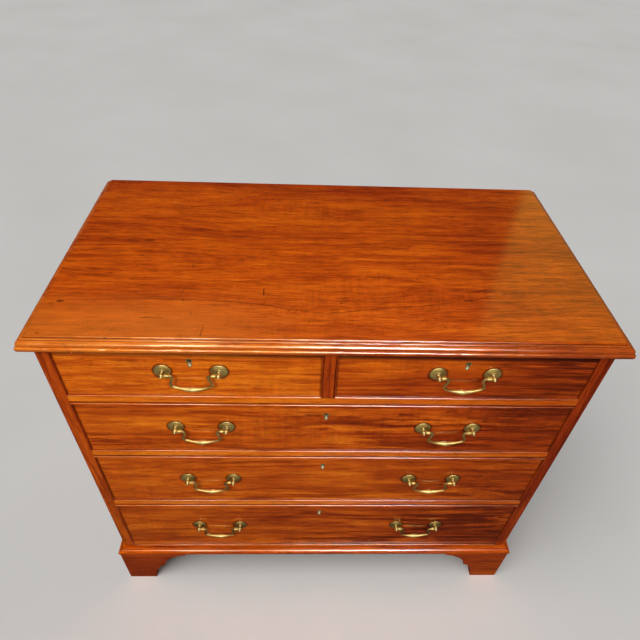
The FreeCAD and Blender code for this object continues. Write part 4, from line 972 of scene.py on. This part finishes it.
def front_or_end(s, x, y, z):
    """Front mouldings run along X, those at the ends along Y, meeting on the mitre."""
    out_x = s.math("SUBTRACT", s.math("ABSOLUTE", x), 0.449)
    out_y = s.math("SUBTRACT", FRONT, y)
    return [(s.math("GREATER_THAN", out_x, out_y), "y")]


def foot_grain(s, x, y, z):
    """As the mouldings, but the brackets behind run along X like the front ones."""
    (mask, other), = front_or_end(s, x, y, z)
    return [(s.mul(mask, s.math("GREATER_THAN", s.math("ABSOLUTE", x), 0.4389)), other)]


def drawer_back(s, x, y, z):
    """The back of a drawer box runs along X, its sides along Y."""
    return [(s.math("GREATER_THAN", y, 0.2075), "x")]


moulded_top(mahogany("mahogany_top", "x", 0.4, gold=0.46, tone=-0.01, figure=0.24, fine=1.1, marks=top_marks, wear=True,
                     broad_gain=0.35, fade_and_shade=(0.10, 0.42, -0.09), thready=1.02, pores=0.52, streaky=0.68,
                     patchy=1.0, ripples=0.006, wear_fade=(0.10, 0.36, 0.88)))
# the right side is toned darker than the left: partly its own colour, partly painted shade of the lesser light on the
# right
dress("side_left", mahogany("mahogany_side_left", "z", 2.3, gold=0.45, tone=0.02, figure=0.4), 0.0007)
dress("side_right", mahogany("mahogany_side_right", "z", 3.9, gold=0.18, tone=-0.18, figure=0.4), 0.0007)
dress("drawer_rails", mahogany("mahogany_rails", "x", 5.2, gold=0.95, tone=0.33, figure=0.35, fade_and_shade=(0.0, 0.43, -0.30), marks=rail_gap_shade), 0.0006)
dress("centre_divider", mahogany("mahogany_divider", "z", 6.1, gold=0.32, tone=0.03, figure=0.3), 0.0006)
dress("base_moulding", mahogany("mahogany_base", "x", 7.7, gold=0.5, masks=front_or_end), 0.0005)
dress("bracket_feet", mahogany("mahogany_feet", "x", 8.3, gold=0.4, tone=-0.05, figure=0.45, masks=foot_grain), 0.0008)
dress("foot_blocks", pine("pine_blocks", "z", 1.1, knots=False), 0.001)
dress("bottom_board", pine("pine_base", "x", 2.2, faced=True), 0.0008)
dress("back_boards", pine("pine_back", "z", 3.3, boards=(-0.439, 0.1756)), 0.0009)
dress("dustboards", pine("pine_dust", "x", 4.1), 0.0006)
dress("runners_and_stops", pine("pine_runners", "y", 5.7, knots=False), 0.0006)

BEAD_X = mahogany("mahogany_beads", "x", 20.1, gold=0.62, tone=-0.03, figure=0.1, wear=True, fade_and_shade=(0.0, 0.40, -0.33))
# the upright beads are toned darker than the level ones: painted shade standing in for the dark gaps beside them
BEAD_UPRIGHT_SHADED = mahogany("mahogany_beads_upright_shaded", "z", 21.7, gold=0.25, tone=-0.26, figure=0.1, wear=True)
LOOKS = {"short_left": dict(gold=0.58, tone=0.25, figure=0.5), "short_right": dict(gold=0.45, tone=0.08, figure=1.1),
         "long_upper": dict(gold=0.52, tone=0.09, figure=1.1), "long_middle": dict(gold=0.68, tone=0.12, figure=0.7),
         "long_lower": dict(gold=0.55, tone=0.08, figure=1.0)}
for k, tag in enumerate(DRAWERS):
    dress(tag + "_front", mahogany("mahogany_front_" + tag, "x", 11.3 + 2.9 * k, box=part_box(tag + "_front"), edges="xz",
                                   fade_and_shade=(0.02, 0.43, -0.40), sway=0.13, marks=rose_wax_and_shade(tag), blotch=0.30,
                                   **LOOKS[tag]), 0.0003)
    cockbead(tag, BEAD_X, BEAD_UPRIGHT_SHADED)
    dress(tag + "_box", oak("oak_box_" + tag, "y", 1.9 + k, masks=drawer_back, box=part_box(tag + "_box")), 0.0006)
    dress(tag + "_bottom", oak("oak_bottom_" + tag, "x", 7.3 + k), 0.0006)
    dress(tag + "_escutcheon", CAST[tag], 0.0002)
    dress(tag + "_lock", IRON, 0.0004)
    dress(tag + "_lock_bolt", IRON, 0.0004)
    handle_mounts(tag)
    if tag.startswith("short"):
        bail(tag + "_bail", -HANDLE_X if tag == "short_left" else HANDLE_X, HANDLE_Z[tag], BRASS[tag])
    else:
        bail(tag + "_bail_left", -HANDLE_X, HANDLE_Z[tag], BRASS[tag])
        bail(tag + "_bail_right", HANDLE_X, HANDLE_Z[tag], BRASS[tag])


# ------------------------------------------------------ floor, light, camera
def floor():
    mesh = bpy.data.meshes.new("floor")
    r = 14.0
    mesh.from_pydata([(-r, -r, 0), (r, -r, 0), (r, r, 0), (-r, r, 0)], [], [(0, 1, 2, 3)])
    obj = bpy.data.objects.new("floor", mesh)
    bpy.context.scene.collection.objects.link(obj)
    s = Shader("pale_floor")
    x, y, z = s.xyz()
    place = s.vec(x, y, z)
    cloud = s.noise(place, (1.4, 1.4, 1.4), 3.0, 0.5)
    s.set(Base_Color=s.ramp(cloud, [(0.3, (0.600, 0.590, 0.575)), (0.7, (0.640, 0.632, 0.618))]),
          Roughness=0.75, Specular_IOR_Level=0.2)
    mesh.materials.append(s.mat)
    obj.visible_glossy = False      # keeps the pale floor out of the polish
    return obj


def backdrop():
    """A pale surround far off, for views from low down; it lights nothing."""
    n, r = 96, 13.5
    ring = [(r * math.cos(2 * math.pi * k / n), r * math.sin(2 * math.pi * k / n)) for k in range(n)]
    mesh = bpy.data.meshes.new("backdrop")
    mesh.from_pydata([(a, b, 0.0) for a, b in ring] + [(a, b, 14.0) for a, b in ring], [],
                     [(k, (k + 1) % n, n + (k + 1) % n, n + k) for k in range(n)] + [tuple(range(n, 2 * n))])
    s = Shader("pale_backdrop")
    glowing = s.tree.nodes.new("ShaderNodeEmission")
    glowing.inputs["Color"].default_value = (0.560, 0.552, 0.540, 1.0)
    s.tree.nodes.remove(s.bsdf)
    s.tree.links.new(glowing.outputs[0], s.out.inputs[0])
    s.mat.cycles.emission_sampling = "NONE"
    mesh.materials.append(s.mat)
    obj = bpy.data.objects.new("backdrop", mesh)
    bpy.context.scene.collection.objects.link(obj)
    obj.visible_diffuse = obj.visible_glossy = obj.visible_shadow = False
    obj.visible_transmission = obj.visible_volume_scatter = False


def only(obj, state):
    """A collection for light linking that takes in, or leaves out, one object."""
    kind = bpy.data.collections.new(obj.name + "_" + state.lower())
    kind.objects.link(obj)
    kind.collection_objects[0].light_linking.link_state = state
    return kind


def area(name, at, towards, size, power, colour=(1.0, 1.0, 1.0), spread=180.0):
    data = bpy.data.lights.new(name, "AREA")
    data.shape = "RECTANGLE"
    data.size, data.size_y = size
    data.energy = power
    data.color = colour
    data.spread = math.radians(spread)
    obj = bpy.data.objects.new(name, data)
    bpy.context.scene.collection.objects.link(obj)
    obj.location = at
    obj.rotation_mode = "QUATERNION"
    obj.rotation_quaternion = (Vector(towards) - Vector(at)).to_track_quat("-Z", "Y")
    obj.visible_camera = False
    return obj


def surfaces(prefix):
    """The objects that carry one kind of material."""
    kind = bpy.data.collections.new(prefix + "_surfaces")
    for obj in bpy.context.scene.objects:
        if obj.type == "MESH" and any(m and m.name.startswith(prefix) for m in obj.data.materials):
            kind.objects.link(obj)
    return kind


def card(name, at, towards, size, glow, colour, kind, soft, across=None):
    """A lit panel that one kind of surface reflects; it sends no light of its own onto anything.

    across holds (place along X, colour) pairs, for a panel that isn't lit evenly.
    """
    mesh = bpy.data.meshes.new(name)
    w, h = size[0] / 2, size[1] / 2
    mesh.from_pydata([(-w, -h, 0), (w, -h, 0), (w, h, 0), (-w, h, 0)], [], [(0, 1, 2, 3)])
    s = Shader(name)
    x, y, _ = s.xyz()
    fall = s.mul(s.step(s.math("ABSOLUTE", x), w, w * (1 - soft)), s.step(s.math("ABSOLUTE", y), h, h * (1 - 0.5 * soft)))
    glowing = s.tree.nodes.new("ShaderNodeEmission")
    if across:
        s.put(glowing.inputs["Color"], s.ramp(s.math("MULTIPLY_ADD", x, 1 / size[0], 0.5),
                                              [((px - at[0]) / size[0] + 0.5, c) for px, c in across]))
    else:
        glowing.inputs["Color"].default_value = (*colour, 1.0)
    s.put(glowing.inputs["Strength"], s.mul(fall, glow))
    s.tree.nodes.remove(s.bsdf)
    clear = s.tree.nodes.new("ShaderNodeBsdfTransparent")
    both = s.tree.nodes.new("ShaderNodeAddShader")
    s.tree.links.new(glowing.outputs[0], both.inputs[0])
    s.tree.links.new(clear.outputs[0], both.inputs[1])
    s.tree.links.new(both.outputs[0], s.out.inputs[0])
    s.mat.cycles.emission_sampling = "NONE"
    mesh.materials.append(s.mat)
    obj = bpy.data.objects.new(name, mesh)
    bpy.context.scene.collection.objects.link(obj)
    obj.location = at
    obj.rotation_mode = "QUATERNION"
    obj.rotation_quaternion = (Vector(towards) - Vector(at)).to_track_quat("-Z", "Y")
    obj.visible_camera = obj.visible_diffuse = obj.visible_shadow = False
    obj.visible_transmission = obj.visible_volume_scatter = False
    obj.light_linking.receiver_collection = kind


def world():
    w = bpy.data.worlds.new("studio")
    bpy.context.scene.world = w
    w.use_nodes = True
    t = w.node_tree
    t.nodes.clear()
    out = t.nodes.new("ShaderNodeOutputWorld")
    dim = t.nodes.new("ShaderNodeBackground")
    dim.inputs[0].default_value = (0.90, 0.94, 1.0, 1.0)
    dim.inputs[1].default_value = 0.02
    t.links.new(dim.outputs[0], out.inputs[0])


def camera():
    data = bpy.data.cameras.new("camera")
    data.sensor_fit, data.sensor_width, data.sensor_height = "HORIZONTAL", 36.0, 36.0
    data.lens = 36.0 * 528.38 / 640.0
    data.clip_start, data.clip_end = 0.02, 60.0
    yaw, pitch, roll = (math.radians(a) for a in (2.984, 42.389, 2.863))
    ahead = Vector((math.sin(yaw) * math.cos(pitch), math.cos(yaw) * math.cos(pitch), -math.sin(pitch)))
    right = Vector((math.cos(yaw), -math.sin(yaw), 0.0))
    up = right.cross(ahead)
    r2 = right * math.cos(roll) + up * math.sin(roll)
    u2 = up * math.cos(roll) - right * math.sin(roll)
    obj = bpy.data.objects.new("camera", data)
    bpy.context.scene.collection.objects.link(obj)
    m = Matrix((r2, u2, -ahead)).transposed().to_4x4()
    m.translation = Vector((-0.04868, -0.79129, 1.38463))
    obj.matrix_world = m
    bpy.context.scene.camera = obj


ground = floor()
backdrop()
lamp = area("lamp_left", (-0.85, -2.05, 2.95), (-0.05, -0.20, 0.75), (0.55, 0.55), 76.0, (1.0, 0.93, 0.80))
window = area("window_right", (0.95, -1.95, 2.85), (0.05, -0.20, 0.75), (1.25, 1.10), 46.0, (0.96, 0.97, 1.0))
lamp.visible_glossy = window.visible_glossy = False   # both are mirrored as cards instead
POLISH, METAL = surfaces("mahogany"), surfaces("brass")
card("side_panel", (1.299, 1.138, 1.90), (-0.05, -0.79, 1.90), (0.86, 1.30), 0.70, (1.0, 0.82, 0.12), POLISH, 0.12)
# (place, brightness, share of daylight) along the lit panel that the mouldings mirror: warm at the left, cool at the right
WALL = [(-1.20, 0.00, 0.0), (-1.06, 0.06, 0.0), (-0.92, 0.21, 0.0), (-0.80, 0.58, 0.4), (-0.64, 0.58, 0.4), (-0.50, 0.16, 0.0),
        (-0.22, 0.16, 0.0), (0.00, 0.72, 0.45), (0.14, 0.86, 0.5), (0.30, 0.90, 0.7), (0.48, 0.96, 0.9), (0.62, 1.00, 1.0),
        (0.78, 1.00, 1.0), (0.88, 0.50, 1.0), (1.00, 0.21, 1.0), (1.16, 0.10, 1.0), (1.36, 0.05, 1.0)]
card("wall_card", (0.08, -2.20, 2.25), (0.08, -0.20, 2.25), (2.60, 2.50), 34.0, None, POLISH, 0.04,
     [(x, (k, k * (0.78 + 0.19 * day), k * (0.44 + 0.54 * day))) for x, k, day in WALL])
card("room_card", (-0.45, -2.60, 1.90), (-0.45, -0.20, 1.90), (3.20, 2.60), 3.0, (1.0, 0.74, 0.38), POLISH, 0.6)
card("far_wall", (0.0, 3.60, 0.82), (0.0, 0.0, 0.82), (9.0, 1.70), 0.40, (1.0, 0.96, 0.91), surfaces("mahogany_top"), 0.4)
card("bead_card", (0.10, -2.40, 2.50), (0.10, -0.20, 2.30), (5.60, 0.80), 21.0, None, surfaces("mahogany_beads"), 0.3,
     [(-2.60, (0.45, 0.31, 0.15)), (-1.60, (0.62, 0.44, 0.22)), (-0.80, (0.86, 0.62, 0.34)), (-0.15, (0.84, 0.62, 0.37)),
      (0.20, (0.86, 0.76, 0.64)), (0.55, (1.00, 0.97, 0.92)), (0.80, (0.78, 0.72, 0.64)), (1.10, (0.52, 0.46, 0.38)),
      (1.60, (0.38, 0.32, 0.24)), (2.70, (0.25, 0.20, 0.15))])
card("brass_window", (0.95, -2.00, 2.85), (0.05, -0.20, 0.75), (1.25, 1.10), 8.5, (1.0, 0.97, 0.92), METAL, 0.3)
card("brass_middle", (0.0, -2.15, 2.55), (0.0, -0.20, 0.75), (2.40, 1.80), 2.9, (1.0, 0.95, 0.86), METAL, 0.6)
card("brass_lamp", (-0.79, -2.30, 2.25), (-0.79, -0.20, 2.25), (0.80, 2.20), 3.2, (1.0, 0.92, 0.76), METAL, 0.3)
card("brass_front", (0.0, -2.70, 1.15), (0.0, -0.20, 0.95), (3.60, 2.20), 1.10, (1.0, 0.95, 0.85), METAL, 0.3)
card("brass_sky", (0.0, -1.10, 3.70), (0.0, -0.60, 0.70), (4.20, 2.60), 1.60, (1.0, 0.96, 0.86), METAL, 0.3)
card("brass_floor", (0.0, -1.80, 0.03), (0.0, -1.80, 1.0), (3.60, 2.70), 0.42, (1.0, 0.90, 0.72), METAL, 0.3)
behind = area("floor_light", (0.0, 3.2, 4.6), (0.0, 3.6, 0.0), (5.0, 3.0), 190.0, (1.0, 0.99, 0.97))
behind.visible_glossy = False
for source in (lamp, window, behind):
    source.light_linking.receiver_collection = only(ground, "EXCLUDE")
even = bpy.data.objects.new("even_light", bpy.data.lights.new("even_light", "SUN"))
even.data.energy, even.data.angle = 3.0, math.radians(55.0)
even.data.color = (1.0, 0.995, 0.985)
bpy.context.scene.collection.objects.link(even)
even.rotation_mode = "QUATERNION"
even.rotation_quaternion = Vector((0.34, 0.40, -1.0)).to_track_quat("-Z", "Y")
even.light_linking.receiver_collection = only(ground, "INCLUDE")
world()
camera()
view = bpy.context.scene.view_settings
view.view_transform = "Standard"
view.look = "None"
view.exposure = 0.0
view.gamma = 1.0
